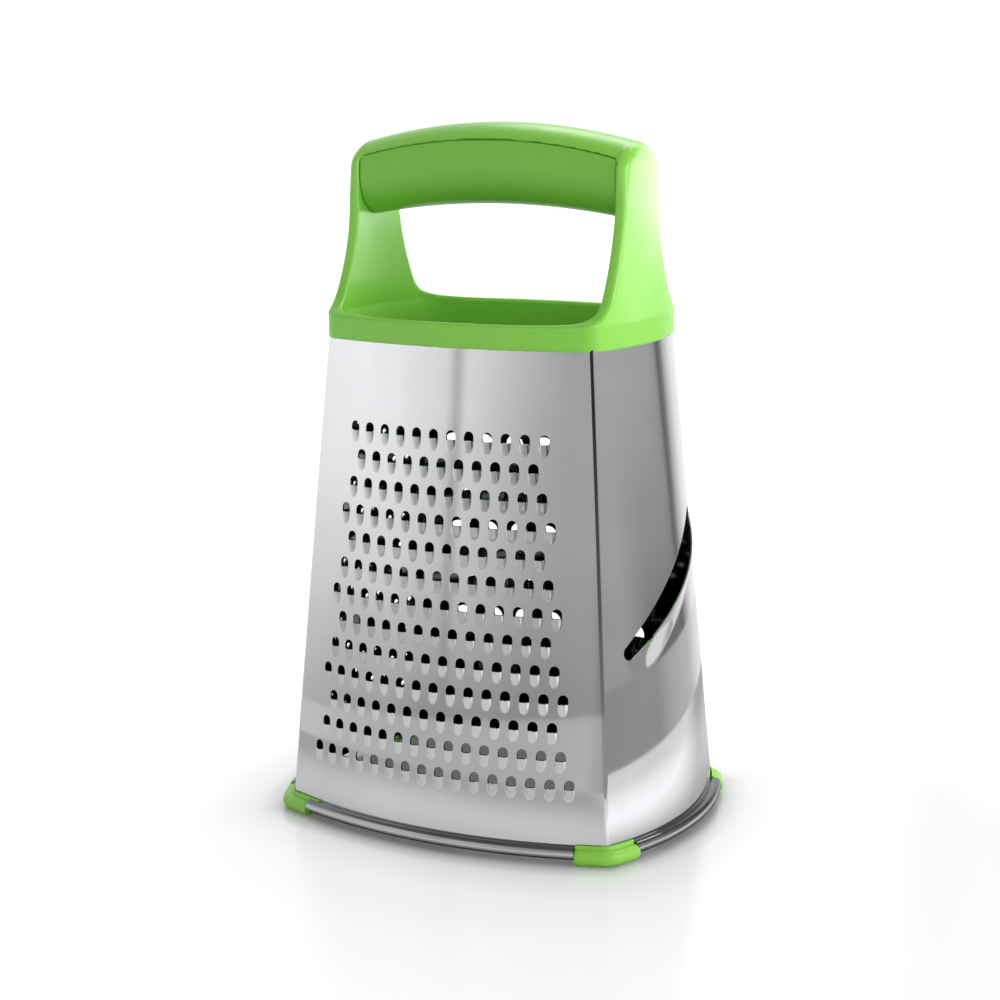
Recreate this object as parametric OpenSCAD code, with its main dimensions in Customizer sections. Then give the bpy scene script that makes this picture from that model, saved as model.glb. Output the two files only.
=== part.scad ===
// Four-sided box grater: bowed stamped faces with rolled hems, corner caps and a moulded handle.
// The origin is on the table under the middle of the body. The fine grating face looks along -Y.

/* [Body] */
// Height of the collar's lower edge above the table
collar_z = 175.6; // [165:0.1:182]
// Thickness of the face sheet
sheet = 0.6; // [0.5:0.05:0.8]
// Distance from the centre to the front and rear faces at the table
front_foot = 60.1; // [58:0.1:63]
// Distance from the centre to the front and rear faces at the collar
front_neck = 43; // [42:0.1:45]
// Distance from the centre to the left and right faces at the table
side_foot = 76.5; // [74:0.1:79]
// Distance from the centre to the left and right faces at the collar
side_neck = 58.7; // [58:0.1:61]
// Bow radius of the front and rear faces
front_bow = 175; // [168:1:190]
// Bow radius of the left and right faces
side_bow = 103; // [100:1:112]

/* [Hem] */
// Outer diameter of the rolled hem
hem_d = 4; // [3.6:0.1:4.4]
// How far the hem's middle line lies above the caps' middle line
hem_lift = 1.4; // [1:0.1:1.6]
// Height of the sheet's lower end above the table
sheet_foot = 2.6; // [2.4:0.1:2.9]

/* [Corner caps] */
// Outer diameter of a cap's sleeve
cap_d = 5.5; // [5.2:0.1:6]
// How much is cut flat under a cap, where the grater stands
cap_flat = 0.25; // [0.15:0.05:0.4]
// Bend radius of a cap along its middle line
cap_bend = 8; // [6:0.5:10]
// Length of a cap's sleeve along the front or rear hem
cap_front_leg = 9; // [7.5:0.5:11]
// Length of a cap's sleeve along the left or right hem
cap_side_leg = 9; // [7:0.5:10]
// Height of the thin lip that a cap turns up against the sheet
lip_top = 6.4; // [6.2:0.1:6.8]
// Thickness of that lip
lip_t = 0.8; // [0.6:0.1:1]
// How far the lip runs on past the sleeve, above the front hem's left end and the rear hem's right end
lip_run = 4.5; // [2:0.5:6]
// Length of the peg that plugs a cap into a hem
peg_l = 6; // [4:0.5:8]

/* [Fine teeth] */
// Height of the top row's cutting edges
fine_top = 144.5; // [141:0.1:146]
// Spacing of the rows
fine_rise = 9.9; // [9.4:0.1:10.1]
// Spacing of the teeth in a row
fine_pitch = 6.9; // [6.4:0.1:7]
// Width of one opening
fine_w = 3.8; // [3.4:0.1:4]
// Height of one opening
fine_h = 3.3; // [3:0.1:3.6]
// How far a cutting edge stands out of the face
fine_proud = 1.1; // [0.8:0.1:1.4]
// Number of rows
fine_rows = 13; // [10:1:13]

/* [Coarse teeth] */
// Height of the top row's cutting edges
coarse_top = 142.6; // [139:0.1:144]
// Spacing of the rows
coarse_rise = 18; // [17:0.1:18.5]
// Spacing of the teeth in a row
coarse_pitch = 12.7; // [12:0.1:13]
// Width of one opening
coarse_w = 7.2; // [6.6:0.1:7.6]
// Height of one opening
coarse_h = 5.8; // [5.2:0.1:6.4]
// How far a cutting edge stands out of the face
coarse_proud = 2.2; // [1.8:0.1:2.4]
// Number of rows
coarse_rows = 7; // [5:1:7]

/* [Zesting holes] */
// Height of the top row
zest_top = 151.4; // [146:0.1:152.5]
// Spacing of the rows
zest_rise = 6; // [5.6:0.1:6.1]
// Spacing of the holes in a row
zest_pitch = 7; // [6.4:0.1:7.4]
// Width of one square hole, corner to corner
zest_w = 2.6; // [2:0.1:3]
// Number of rows
zest_rows = 22; // [16:1:22]
// Least distance from a hole to the face's edge
zest_margin = 8; // [6:0.5:12]

/* [Slicing slot] */
// Height of the slot's middle
slot_z = 90.4; // [85:0.1:93]
// Slope of the slot across the face, in degrees
slot_slope = 31.4; // [28:0.2:34]
// Length of the slot from end to end
slot_l = 78; // [72:1:80]
// Width of the slot
slot_w = 5; // [4.6:0.1:5.4]
// How far the lip's edge stands out of the face at its middle
slot_proud = 3.9; // [3:0.1:4.5]
// Length of the ramp from the lip's edge down to the face
ramp_l = 10; // [8:0.5:12]

/* [Handle] */
// Overall height of the grater
grater_h = 252.1; // [244:0.1:256]
// Height of the collar from its lower edge to its rim
collar_h = 9.5; // [9:0.5:11]
// How far the collar stands out past the sheet
collar_over = 1; // [0.9:0.1:1.6]
// How far the collar's inner wall lies inside the sheet's outer face
collar_in = 2.9; // [2.8:0.1:3.4]
// Depth of the groove that takes the sheet
groove_h = 6; // [5:0.5:7]
// How far the collar's skirt reaches down inside the body
skirt_h = 14; // [8:1:18]
// Distance from the centre to a side plate's outer face at the grip
plate_x = 56.4; // [55.5:0.1:57]
// Thickness of a side plate
plate_t = 4.2; // [3.8:0.1:4.6]
// Half the depth of a side plate at the grip
plate_half = 15; // [14.5:0.1:16]
// Half the depth of a side plate at the rim
plate_spread = 30.2; // [29:0.1:31]

/* [Grip] */
// Radius of the grip's round underside
grip_r = 14; // [13:0.1:14.4]
// Height of the grip from the crease to its underside
grip_h = 22.9; // [22:0.1:24]
// Wall thickness of the grip shell
grip_t = 2.4; // [2:0.1:2.8]
// Height of the domed band above the crease
band_h = 6; // [5.5:0.1:6.5]
// Half the depth of the band at the crease
band_half = 13; // [12.5:0.1:13.4]
// Bend radius of the band's top line
band_bend = 213; // [200:1:230]
// Bend radius of the grip's underside
grip_bend = 320; // [300:5:340]
// Width of the rib that fills the grip shell
rib_w = 12; // [10:0.5:14]

/* [Hidden] */

// Overrun of every cut, and the running clearance of every hidden seat
over = 1;
seat = 0.2;
// Quarter turn, past any point of a face
quarter = 90;
steel = "#C8CACC";
green = "#7DB843";
dark_green = "#5CA038";

// Body: every face is built looking along -Y, as [foot, neck, bow radius]
front_face = [front_foot, front_neck, front_bow];
side_face = [side_foot, side_neck, side_bow];
function lean(face) = atan((face[0] - face[1]) / collar_z);
function mid_at(face, z) = face[0] - (face[0] - face[1]) * z / collar_z;
function degrees_along(length, radius) = length / radius * 180 / PI;

// Where the front and side bows cross at height z, when both are grown outwards alike
function centre_of(face, z) = mid_at(face, z) - face[2];
function meet(z, grow) =
    let (a = centre_of(front_face, z), b = centre_of(side_face, z))
    let (r1 = front_bow + grow, r2 = side_bow + grow, d = norm([a, b]))
    let (k = (r1 * r1 - r2 * r2 + d * d) / (2 * d), h = sqrt(r1 * r1 - k * k))
    [k * b / d - h * a / d, a - k * a / d - h * b / d];
foot_corner = meet(0, 0);
neck_corner = meet(collar_z, 0);
sheet_top = collar_z + groove_h - seat;
// Sheet thickness while it is stamped, before the inside is cleared
blank_t = 4;
clear_t = 14;

// Hem and caps
cap_z = cap_d / 2 - cap_flat;
hem_z = cap_z + hem_lift;
hem_bite = sheet / 2;
hem_out = hem_d / 2 - hem_bite;
hem_bore = hem_d - 2 * sheet;
peg_d = hem_bore - 2 * seat;
// A cap's legs are a little thinner than its bend, and start inside it
leg_thinner = 0.1;
leg_d = cap_d - leg_thinner;
leg_bite = 0.5;
bend_centre = meet(hem_z, hem_out - cap_bend);
bend_from = atan2(bend_centre[1], bend_centre[0] - centre_of(side_face, hem_z));
bend_to = atan2(bend_centre[1] - centre_of(front_face, hem_z), bend_centre[0]);
front_hem_r = front_bow + hem_out;
side_hem_r = side_bow + hem_out;
front_hem_half = 90 - bend_to - degrees_along(cap_front_leg + seat, front_hem_r);
side_hem_half = bend_from - degrees_along(cap_side_leg + seat, side_hem_r);

// Handle
rim_z = collar_z + collar_h;
skirt_out = sheet + seat + (front_foot - front_neck) * groove_h / collar_z;
crease_z = grater_h - band_h;
band_dome = (band_half * band_half + band_h * band_h) / (2 * band_h);
grip_floor = crease_z - grip_h;
// Height of a plate's round top, and how far that top lies under the crease
plate_round = 8.8;
plate_drop = 1.4;
plate_straight_z = crease_z - plate_drop - plate_round;
// Height over which a plate narrows from the rim to its straight part, as a share of the way to its round top
flare_share = 0.846;
plate_flare = flare_share * (plate_straight_z - rim_z);
// Height, as a share of the same way, and amount by which a plate's outer face leans out to the collar
lean_share = 0.696;
plate_lean_z = lean_share * (plate_straight_z - collar_z);
plate_lean_x = side_neck + collar_over - plate_x;
plate_foot_z = rim_z - collar_h / 2;

// Opening's outline, as shares of its half width and of its height: straight edge below, round above
arch_shares = [[-1, 0], [1, 0], [1, 0.43], [0.71, 0.83], [0, 1], [-0.71, 0.83], [-1, 0.43]];
// A scale's corner radius and length, as shares of its opening's width
scale_r_share = 0.62;
scale_l_share = 1.2;
// Ramp's footprint below the slot, as shares of half the slot's length and of the ramp's length
ramp_foot_shares = [[-1, 0], [-0.98, -0.5], [-0.93, -0.85], [-0.83, -1],
                    [0.83, -1], [0.93, -0.85], [0.98, -0.5], [1, 0]];

// Leans a face from upright, where its middle line is the Z axis, to its place on the body
module leaned(face) {
    translate([0, -face[0], 0])
        rotate([-lean(face), 0, 0])
            children();
}

module upright(face) {
    rotate([lean(face), 0, 0])
        translate([0, face[0], 0])
            children();
}

// Band of a bowed face, from r_in inside its outer surface to r_out outside, between two angles
module bowed_band(face, r_in, r_out, z0, z1, from, to) {
    translate([0, face[2], 0])
        rotate([0, 0, from - 90])
            rotate_extrude(angle = to - from, $fn = 360)
                polygon([[face[2] - r_in, z0], [face[2] + r_out, z0],
                         [face[2] + r_out, z1], [face[2] - r_in, z1]]);
}

// Space of one face between the two upright mitre planes at its corners
module face_wedge(near, far, z0, z1) {
    slope = (near[1] - far[1]) / (near[0] - far[0]);
    apex = near[1] - slope * near[0];
    reach = 2 * near[0];
    translate([0, 0, z0])
        linear_extrude(height = z1 - z0)
            polygon([[0, -apex], [reach, -apex - slope * reach], [-reach, -apex - slope * reach]]);
}

module front_wedge(z0, z1) {
    face_wedge(foot_corner, neck_corner, z0, z1);
}

module side_wedge(z0, z1) {
    face_wedge([foot_corner[1], foot_corner[0]], [neck_corner[1], neck_corner[0]], z0, z1);
}

// Hollow rolled hem along the foot of a face, standing outside the sheet
module hem(face, half_angle) {
    radius = face[2] + hem_out;
    translate([0, -centre_of(face, hem_z), hem_z])
        rotate([0, 0, -90 - half_angle])
            rotate_extrude(angle = 2 * half_angle, $fn = 360)
                translate([radius, 0])
                    difference() {
                        circle(d = hem_d, $fn = 48);
                        circle(d = hem_bore, $fn = 48);
                    }
}

// Blank of a face: thick sheet between its mitres, with its hem, still upright
module blank(face, half_angle) {
    half = degrees_along(2 * front_foot, face[2]);
    intersection() {
        upright(face)
            children(0);
        bowed_band(face, blank_t, 0, -blank_t, sheet_top + blank_t, -half, half);
    }
    upright(face)
        hem(face, half_angle);
}

// What is cleared behind the finished sheet
module sheet_back(face) {
    half = degrees_along(3 * front_foot, face[2]);
    bowed_band(face, clear_t, -sheet, -clear_t, sheet_top + clear_t, -half, half);
}

// Sets its children on an upright face at arc length u and true height z, with Z outwards and Y up
module on_face(face, u, z) {
    turn = degrees_along(u, face[2]);
    along = (z + face[2] * (1 - cos(turn)) * sin(lean(face))) / cos(lean(face));
    translate([0, face[2], 0])
        rotate([0, 0, turn])
            translate([0, -face[2], along])
                rotate([90, 0, 0])
                    children();
}

// Raised scale under an opening: a leaning six-sided bar that sinks back into the sheet
module scale(w, proud) {
    bar_r = w * scale_r_share;
    bar_l = w * scale_l_share;
    tilt = asin((proud + sheet) / bar_l);
    translate([0, 0, proud - bar_r * cos(30)])
        rotate([90 - tilt, 0, 0])
            cylinder(r = bar_r, h = bar_l, $fn = 6);
}

module arch_hole(w, h) {
    translate([0, 0, -blank_t])
        linear_extrude(height = 3 * blank_t)
            polygon([for (p = arch_shares) [p[0] * w / 2, p[1] * h]]);
}

// Teeth in a fine row: one more every third row, one fewer in each row that sits between
function fine_count(row) = 12 + floor(row / 3) - (row % 3 == 1 ? 1 : 0);
function coarse_count(row) = 7 + row % 2;

module fine_places() {
    for (row = [0 : fine_rows - 1], k = [0 : fine_count(row) - 1])
        on_face(front_face, (k - (fine_count(row) - 1) / 2) * fine_pitch, fine_top - row * fine_rise)
            children();
}

module coarse_places() {
    for (row = [0 : coarse_rows - 1], k = [0 : coarse_count(row) - 1])
        on_face(front_face, (k - (coarse_count(row) - 1) / 2) * coarse_pitch, coarse_top - row * coarse_rise)
            children();
}

// Zesting rows run from edge to edge and are staggered by half a pitch
function side_half_at(z) = foot_corner[1] + (neck_corner[1] - foot_corner[1]) * z / collar_z;
module zest_places() {
    for (row = [0 : zest_rows - 1]) {
        z = zest_top - row * zest_rise;
        shift = row % 2 / 2;
        most = floor((side_half_at(z) - zest_margin) / zest_pitch - shift);
        for (k = [-most - row % 2 : most])
            on_face(side_face, (k + shift) * zest_pitch, z)
                children();
    }
}

module front_panel() {
    color(steel)
        leaned(front_face)
            difference() {
                union() {
                    blank(front_face, front_hem_half)
                        front_wedge(sheet_foot, sheet_top);
                    fine_places()
                        scale(fine_w, fine_proud);
                }
                sheet_back(front_face);
                fine_places()
                    arch_hole(fine_w, fine_h);
            }
}

module rear_panel() {
    color(steel)
        rotate([0, 0, 180])
            leaned(front_face)
                difference() {
                    union() {
                        blank(front_face, front_hem_half)
                            front_wedge(sheet_foot, sheet_top);
                        coarse_places()
                            scale(coarse_w, coarse_proud);
                    }
                    sheet_back(front_face);
                    coarse_places()
                        arch_hole(coarse_w, coarse_h);
                }
}

module left_panel() {
    color(steel)
        rotate([0, 0, -90])
            leaned(side_face)
                difference() {
                    blank(side_face, side_hem_half)
                        side_wedge(sheet_foot, sheet_top);
                    sheet_back(side_face);
                    zest_places()
                        translate([0, 0, -blank_t])
                            cylinder(d = zest_w, h = 2 * blank_t, $fn = 4);
                }
}

// Point of the side face's upright frame, from s along the slot, w across it and h outwards
function slot_point(s, w, h) =
    let (turn = asin((s * cos(slot_slope) - w * sin(slot_slope)) / side_bow), r = side_bow + h)
    let (along = slot_z / cos(lean(side_face)) + s * sin(slot_slope) + w * cos(slot_slope))
    [r * sin(turn), side_bow - r * cos(turn), along];

// Ramp pressed out below the slot, shrunk by inset and open upwards by open
module slot_ramp(inset, open) {
    half = slot_l / 2 - inset;
    edge = -slot_w / 2;
    lip = [for (t = [-1 : 0.125 : 1]) slot_point(t * half, edge, slot_proud * (1 - t * t) - inset)];
    mouth = [for (t = [-1 : 0.125 : 1]) slot_point(t * half, edge + open, slot_proud * (1 - t * t) - inset)];
    foot = [for (p = ramp_foot_shares) slot_point(p[0] * half, edge + p[1] * (ramp_l - inset), -inset)];
    base = [for (t = [-1 : 0.25 : 1]) slot_point(t * half, edge + open, -blank_t / 2)];
    hull()
        for (p = concat(lip, mouth, foot, base))
            translate(p)
                cube(sheet / 8, center = true);
}

module slot_cut() {
    on_face(side_face, 0, slot_z)
        rotate([0, 0, slot_slope])
            translate([0, 0, -clear_t])
                linear_extrude(height = 2 * clear_t) {
                    square([slot_l - slot_w, slot_w], center = true);
                    for (s = [-1, 1])
                        translate([s * (slot_l - slot_w) / 2, 0])
                            circle(d = slot_w, $fn = 48);
                }
}

module right_panel() {
    color(steel)
        rotate([0, 0, 90])
            leaned(side_face)
                difference() {
                    union() {
                        blank(side_face, side_hem_half)
                            side_wedge(sheet_foot, sheet_top);
                        slot_ramp(0, 0);
                    }
                    sheet_back(side_face);
                    slot_ramp(sheet, slot_w / 2);
                    slot_cut();
                }
}

// Stretch of a level ring at height z, about centre c
module ring_arc(c, z, radius, d, from, to) {
    translate([c[0], c[1], z])
        rotate([0, 0, from])
            rotate_extrude(angle = to - from, $fn = 360)
                translate([radius, 0])
                    circle(d = d, $fn = 48);
}

// Block that fills the inside of the front right corner, up to both faces grown outwards alike
module corner_block(depth, grow, z0, z1, front_from, side_from) {
    intersection() {
        translate([0, -2 * front_foot, z0])
            cube([2 * side_foot, 2 * front_foot, z1 - z0]);
        leaned(front_face)
            bowed_band(front_face, depth, grow, -blank_t, 3 * lip_top, front_from, quarter);
        rotate([0, 0, 90])
            leaned(side_face)
                bowed_band(side_face, depth, grow, -blank_t, 3 * lip_top, -quarter, -side_from);
    }
}

// Thin lip that a cap turns up against the sheet; its inside is cleared with the sheet's room
module cap_lip(run) {
    front_centre = [0, -centre_of(front_face, hem_z)];
    front_turn = degrees_along(cap_front_leg, front_hem_r);
    side_turn = degrees_along(cap_side_leg, side_hem_r);
    difference() {
        corner_block(clear_t, seat + lip_t, hem_z, lip_top,
                     90 - bend_to - front_turn - degrees_along(run, front_hem_r), bend_from - side_turn);
        ring_arc(front_centre, hem_z, front_hem_r, hem_d + 2 * seat,
                 -bend_to - front_turn - degrees_along(run + over, front_hem_r), -bend_to - front_turn);
    }
}

// Cap at the front right corner: a bent sleeve a little below both hems, with a peg into each
module corner_cap(run) {
    front_centre = [0, -centre_of(front_face, hem_z)];
    side_centre = [centre_of(side_face, hem_z), 0];
    front_turn = degrees_along(cap_front_leg, front_hem_r);
    side_turn = degrees_along(cap_side_leg, side_hem_r);
    color(green)
        difference() {
            union() {
                ring_arc([bend_centre[0], -bend_centre[1]], cap_z, cap_bend, cap_d, -bend_to, -bend_from);
                ring_arc(front_centre, cap_z, front_hem_r, leg_d,
                         -bend_to - front_turn, -bend_to + degrees_along(leg_bite, front_hem_r));
                ring_arc(side_centre, cap_z, side_hem_r, leg_d,
                         -bend_from - degrees_along(leg_bite, side_hem_r), -bend_from + side_turn);
                ring_arc(front_centre, hem_z, front_hem_r, peg_d,
                         -bend_to - front_turn - degrees_along(peg_l, front_hem_r), -bend_to);
                ring_arc(side_centre, hem_z, side_hem_r, peg_d,
                         -bend_from, -bend_from + side_turn + degrees_along(peg_l, side_hem_r));
                cap_lip(run);
            }
            corner_block(2 * clear_t, seat, sheet_foot - seat, 2 * lip_top, 0, 0);
            translate([0, -front_hem_r, -over])
                cube([front_hem_r, front_hem_r, over]);
        }
}

module front_right_cap() {
    corner_cap(0);
}

module front_left_cap() {
    mirror([1, 0, 0])
        corner_cap(lip_run);
}

module rear_right_cap() {
    mirror([0, 1, 0])
        corner_cap(lip_run);
}

module rear_left_cap() {
    rotate([0, 0, 180])
        corner_cap(0);
}

// Upright block with the body's bowed plan at the collar, grown outwards
module bowed_block(grow, z0, z1) {
    intersection() {
        translate([0, -centre_of(front_face, collar_z), z0])
            cylinder(r = front_bow + grow, h = z1 - z0, $fn = 360);
        translate([0, centre_of(front_face, collar_z), z0])
            cylinder(r = front_bow + grow, h = z1 - z0, $fn = 360);
        translate([centre_of(side_face, collar_z), 0, z0])
            cylinder(r = side_bow + grow, h = z1 - z0, $fn = 360);
        translate([-centre_of(side_face, collar_z), 0, z0])
            cylinder(r = side_bow + grow, h = z1 - z0, $fn = 360);
    }
}

// Side plate: its outline seen from the side, cut from a bowed shell that leans out to the collar
function plate_half_at(z) = z > rim_z + plate_flare ? plate_half
    : plate_half + (plate_spread - plate_half) * pow((rim_z + plate_flare - z) / plate_flare, 2);
function plate_x_at(z) = z > collar_z + plate_lean_z ? plate_x
    : plate_x + plate_lean_x * pow((collar_z + plate_lean_z - z) / plate_lean_z, 2);

module plate_outline() {
    steps = 12;
    rise = [for (k = [0 : steps]) plate_foot_z + (rim_z + plate_flare - plate_foot_z) * k / steps];
    edge = [for (z = rise) [min(plate_half_at(z), plate_spread), z]];
    dome = [for (a = [0 : 10 : 180]) [plate_half * cos(a), plate_straight_z + plate_round * sin(a)]];
    back = [for (k = [steps : -1 : 0]) [-edge[k][0], edge[k][1]]];
    polygon(concat(edge, dome, back));
}

module plate_shell(x_in, x_out, foot_z, head_z) {
    steps = 6;
    bow = side_bow;
    rise = concat([for (k = [0 : steps]) foot_z + (collar_z + plate_lean_z - foot_z) * k / steps], [head_z]);
    outer = [for (z = rise) [bow + plate_x_at(z) - plate_x + x_out, z]];
    inner = [for (k = [len(rise) - 1 : -1 : 0]) [bow + plate_x_at(rise[k]) - plate_x - x_in, rise[k]]];
    translate([plate_x - bow, 0, 0])
        rotate([0, 0, -25])
            rotate_extrude(angle = 50, $fn = 360)
                polygon(concat(outer, inner));
}

module side_plate() {
    intersection() {
        rotate([90, 0, 90])
            linear_extrude(height = 2 * plate_x)
                plate_outline();
        plate_shell(plate_t, 0, plate_foot_z, grater_h);
    }
}

// Bar that bends in a shallow arch from plate to plate, from a section drawn as [height, depth]
module arched(top_z, bend, half_l) {
    half = asin(half_l / bend);
    translate([0, 0, top_z - bend])
        rotate([90, 0, 0])
            rotate([0, 0, 90 - half])
                rotate_extrude(angle = 2 * half, $fn = 360)
                    translate([bend, 0])
                        children();
}

module band_section() {
    intersection() {
        translate([-band_dome, 0])
            circle(r = band_dome, $fn = 96);
        translate([-band_h, -2 * band_half])
            square([2 * band_h, 4 * band_half]);
    }
}

module rib_section() {
    rib_h = grip_h - grip_t - seat - band_bend * (1 - cos(asin(plate_x / band_bend)));
    translate([-band_h - rib_h, -rib_w / 2])
        square([rib_h + band_h / 2, rib_w]);
}

module handle_frame() {
    color(green)
        difference() {
            union() {
                bowed_block(collar_over, collar_z, rim_z);
                bowed_block(-skirt_out, collar_z - skirt_h, rim_z);
                side_plate();
                rotate([0, 0, 180])
                    side_plate();
                arched(grater_h, band_bend, plate_x - plate_t / 2) {
                    band_section();
                    rib_section();
                }
            }
            bowed_block(-collar_in, collar_z - skirt_h - over, rim_z + over);
            difference() {
                bowed_block(seat, collar_z - over, collar_z + groove_h);
                bowed_block(-skirt_out, collar_z - 2 * over, collar_z + groove_h + over);
            }
        }
}

// Grip shell: a round-bottomed channel between the plates, closed above by the band
module grip_shell() {
    wall_r = side_bow - plate_t - seat;
    color(dark_green)
        intersection() {
            difference() {
                arched(crease_z, grip_bend, plate_x) {
                    translate([grip_r - grip_h, 0])
                        circle(r = grip_r, $fn = 96);
                    translate([grip_r - grip_h, -band_half])
                        square([grip_h - grip_r, 2 * band_half]);
                }
                arched(crease_z, grip_bend, plate_x + over) {
                    translate([grip_r - grip_h, 0])
                        circle(r = grip_r - grip_t, $fn = 96);
                    translate([grip_r - grip_h, grip_t - band_half])
                        square([2 * grip_h, 2 * (band_half - grip_t)]);
                }
                arched(grater_h, band_bend, plate_x + over)
                    translate([-band_h - seat, -grip_r - over])
                        square([2 * band_h, 2 * (grip_r + over)]);
            }
            translate([plate_x - side_bow, 0, grip_floor - grip_h])
                cylinder(r = wall_r, h = 3 * grip_h, $fn = 360);
            translate([side_bow - plate_x, 0, grip_floor - grip_h])
                cylinder(r = wall_r, h = 3 * grip_h, $fn = 360);
        }
}

front_panel();
rear_panel();
left_panel();
right_panel();
front_left_cap();
front_right_cap();
rear_left_cap();
rear_right_cap();
handle_frame();
grip_shell();
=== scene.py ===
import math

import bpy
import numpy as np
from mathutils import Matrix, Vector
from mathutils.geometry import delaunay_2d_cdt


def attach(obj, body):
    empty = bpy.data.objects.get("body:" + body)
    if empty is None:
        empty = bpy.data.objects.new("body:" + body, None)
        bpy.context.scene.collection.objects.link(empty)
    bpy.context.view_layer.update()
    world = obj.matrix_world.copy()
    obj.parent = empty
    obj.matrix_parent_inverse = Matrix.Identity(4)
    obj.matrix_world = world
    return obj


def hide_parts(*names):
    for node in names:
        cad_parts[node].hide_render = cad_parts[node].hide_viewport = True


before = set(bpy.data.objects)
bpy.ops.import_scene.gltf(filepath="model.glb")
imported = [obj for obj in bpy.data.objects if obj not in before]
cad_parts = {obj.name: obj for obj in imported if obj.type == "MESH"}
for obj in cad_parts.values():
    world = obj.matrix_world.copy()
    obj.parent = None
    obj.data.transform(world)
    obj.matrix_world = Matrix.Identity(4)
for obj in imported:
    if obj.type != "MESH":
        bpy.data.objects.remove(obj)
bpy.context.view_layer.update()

# %% [markdown]
# # A four-sided grater
# The grater is a tapered box of polished steel with a bright green plastic handle. Its four faces are slightly
# bowed sheets: fine teeth in front, coarse teeth at the back, zesting holes on the left and a slicing slot on
# the right. The frame that was just loaded gives every part its place. The looks are built over it, so each
# piece below takes the same sizes as the frame, in millimetres, and is only turned into metres at the end.

MM = 0.001


def add_object(name, data):
    piece = bpy.data.objects.new(name, data)
    bpy.context.scene.collection.objects.link(piece)
    return piece



COLLAR_Z, SHEET_TOP = 175.6, 181.4
SHEET_FOOT, HEM_Z = 2.6, 3.9
SHEET, CORNER = 0.6, 2.5
FRONT = {"foot": 60.1, "neck": 43.0, "bow": 175.0}
SIDE = {"foot": 76.5, "neck": 58.7, "bow": 103.0}

# %% [markdown]
# ## The camera
# The view is from the front right and a little above. The camera's place and turn were found by matching many
# points of the grater to where the picture shows them, so a long lens of 73 mm sits about 0.75 m away.

# %% Camera
yaw, pitch, roll = math.radians(27.679), math.radians(-11.4536), math.radians(-0.37993)
forward = Vector((-math.sin(yaw) * math.cos(pitch), math.cos(yaw) * math.cos(pitch), math.sin(pitch)))
level = Vector((math.cos(yaw), math.sin(yaw), 0))
upward = level.cross(forward)
right = math.cos(roll) * level + math.sin(roll) * upward
top = -math.sin(roll) * level + math.cos(roll) * upward
lens = bpy.data.cameras.new("camera")
lens.sensor_width = 36
lens.lens = 72.876
lens.clip_start = 0.01
camera = add_object("camera", lens)
stand = Vector((0.340007, -0.651022, 0.263239))
camera.matrix_world = Matrix((
    (right.x, top.x, -forward.x, stand.x),
    (right.y, top.y, -forward.y, stand.y),
    (right.z, top.z, -forward.z, stand.z),
    (0, 0, 0, 1)))
bpy.context.scene.camera = camera
print("camera stands", round((stand - Vector((0, 0, 0.12))).length, 3), "m from the body")

# %% [markdown]
# ## A bowed face
# Every face is part of a wide cylinder that leans inwards as it rises. It is easiest to lay a face out flat, as
# the press that made it would, and to bend it afterwards. Flat, a point has three numbers: how far along the
# bow it lies, how high it is, and how far it stands out of the sheet. One function then bends points and
# their normals alike. Exact normals matter here, because a mirror shows every facet.

# %% Bending a flat layout into a bowed face
def middle(face, z):
    return face["foot"] - (face["foot"] - face["neck"]) * z / COLLAR_Z


def bend(face, flat, normals):
    """Points and normals laid out flat become (sideways, outwards, up)."""
    u, z, h = flat.T
    turn, radius = u / face["bow"], face["bow"] + h
    slope = (face["foot"] - face["neck"]) / COLLAR_Z
    sin, cos, zero, one = np.sin(turn), np.cos(turn), np.zeros_like(u), np.ones_like(u)
    points = np.stack([radius * sin, radius * cos + middle(face, z) - face["bow"], z], 1)
    along = np.stack([cos, -sin, zero], 1) * (radius / face["bow"])[:, None]
    upwards = np.stack([zero, -slope * one, one], 1)
    outwards = np.stack([sin, cos, zero], 1)
    bent = (normals[:, :1] * np.cross(outwards, upwards) + normals[:, 1:2] * np.cross(along, outwards)
            + normals[:, 2:] * np.cross(upwards, along))
    return points, bent / np.linalg.norm(bent, axis=1, keepdims=True)


def corner_circle(face, other, z, grow=0.0, radius=CORNER):
    """Centre of the circle that rounds the corner of two faces at height z, both grown by some millimetres,
    and the directions where it meets the one face and the other."""
    a, b = middle(face, z) - face["bow"], middle(other, z) - other["bow"]
    r1, r2, apart = face["bow"] + grow - radius, other["bow"] + grow - radius, math.hypot(a, b)
    k = (r1 * r1 - r2 * r2 + apart * apart) / (2 * apart)
    h = math.sqrt(r1 * r1 - k * k)
    centre = np.array([k * b / apart - h * a / apart, a - k * a / apart - h * b / apart])
    return centre, math.atan2(centre[0], centre[1] - a), math.atan2(centre[0] - b, centre[1])


def edge_of(face, other, z):
    return face["bow"] * corner_circle(face, other, z)[1]


print("front face is", round(2 * edge_of(FRONT, SIDE, 0), 1), "mm round the bow at its foot and",
      round(2 * edge_of(FRONT, SIDE, COLLAR_Z), 1), "mm at the collar")

# %% [markdown]
# ## Gathering and joining surfaces
# A face is put together from patches: plain sheet, stamped teeth, rounded corners and the rolled hem. Each
# patch is a list of points, their normals and faces. Patches share points along their borders, so rounding
# the coordinates is enough to find the doubles and weld them.

# %% Patches and welding
PLAIN, PRESSED = (0.0, 0.0, 1.0), (0.0, 0.0, 0.0)
WELD_GRID, WELD_SHIFT = 0.002, 0.000437


def patch(points, faces, normals=None):
    points = np.asarray(points, float)
    if normals is None:
        normals = np.tile(PLAIN, (len(points), 1))
    return points, [tuple(f) for f in faces], np.asarray(normals, float)


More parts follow.
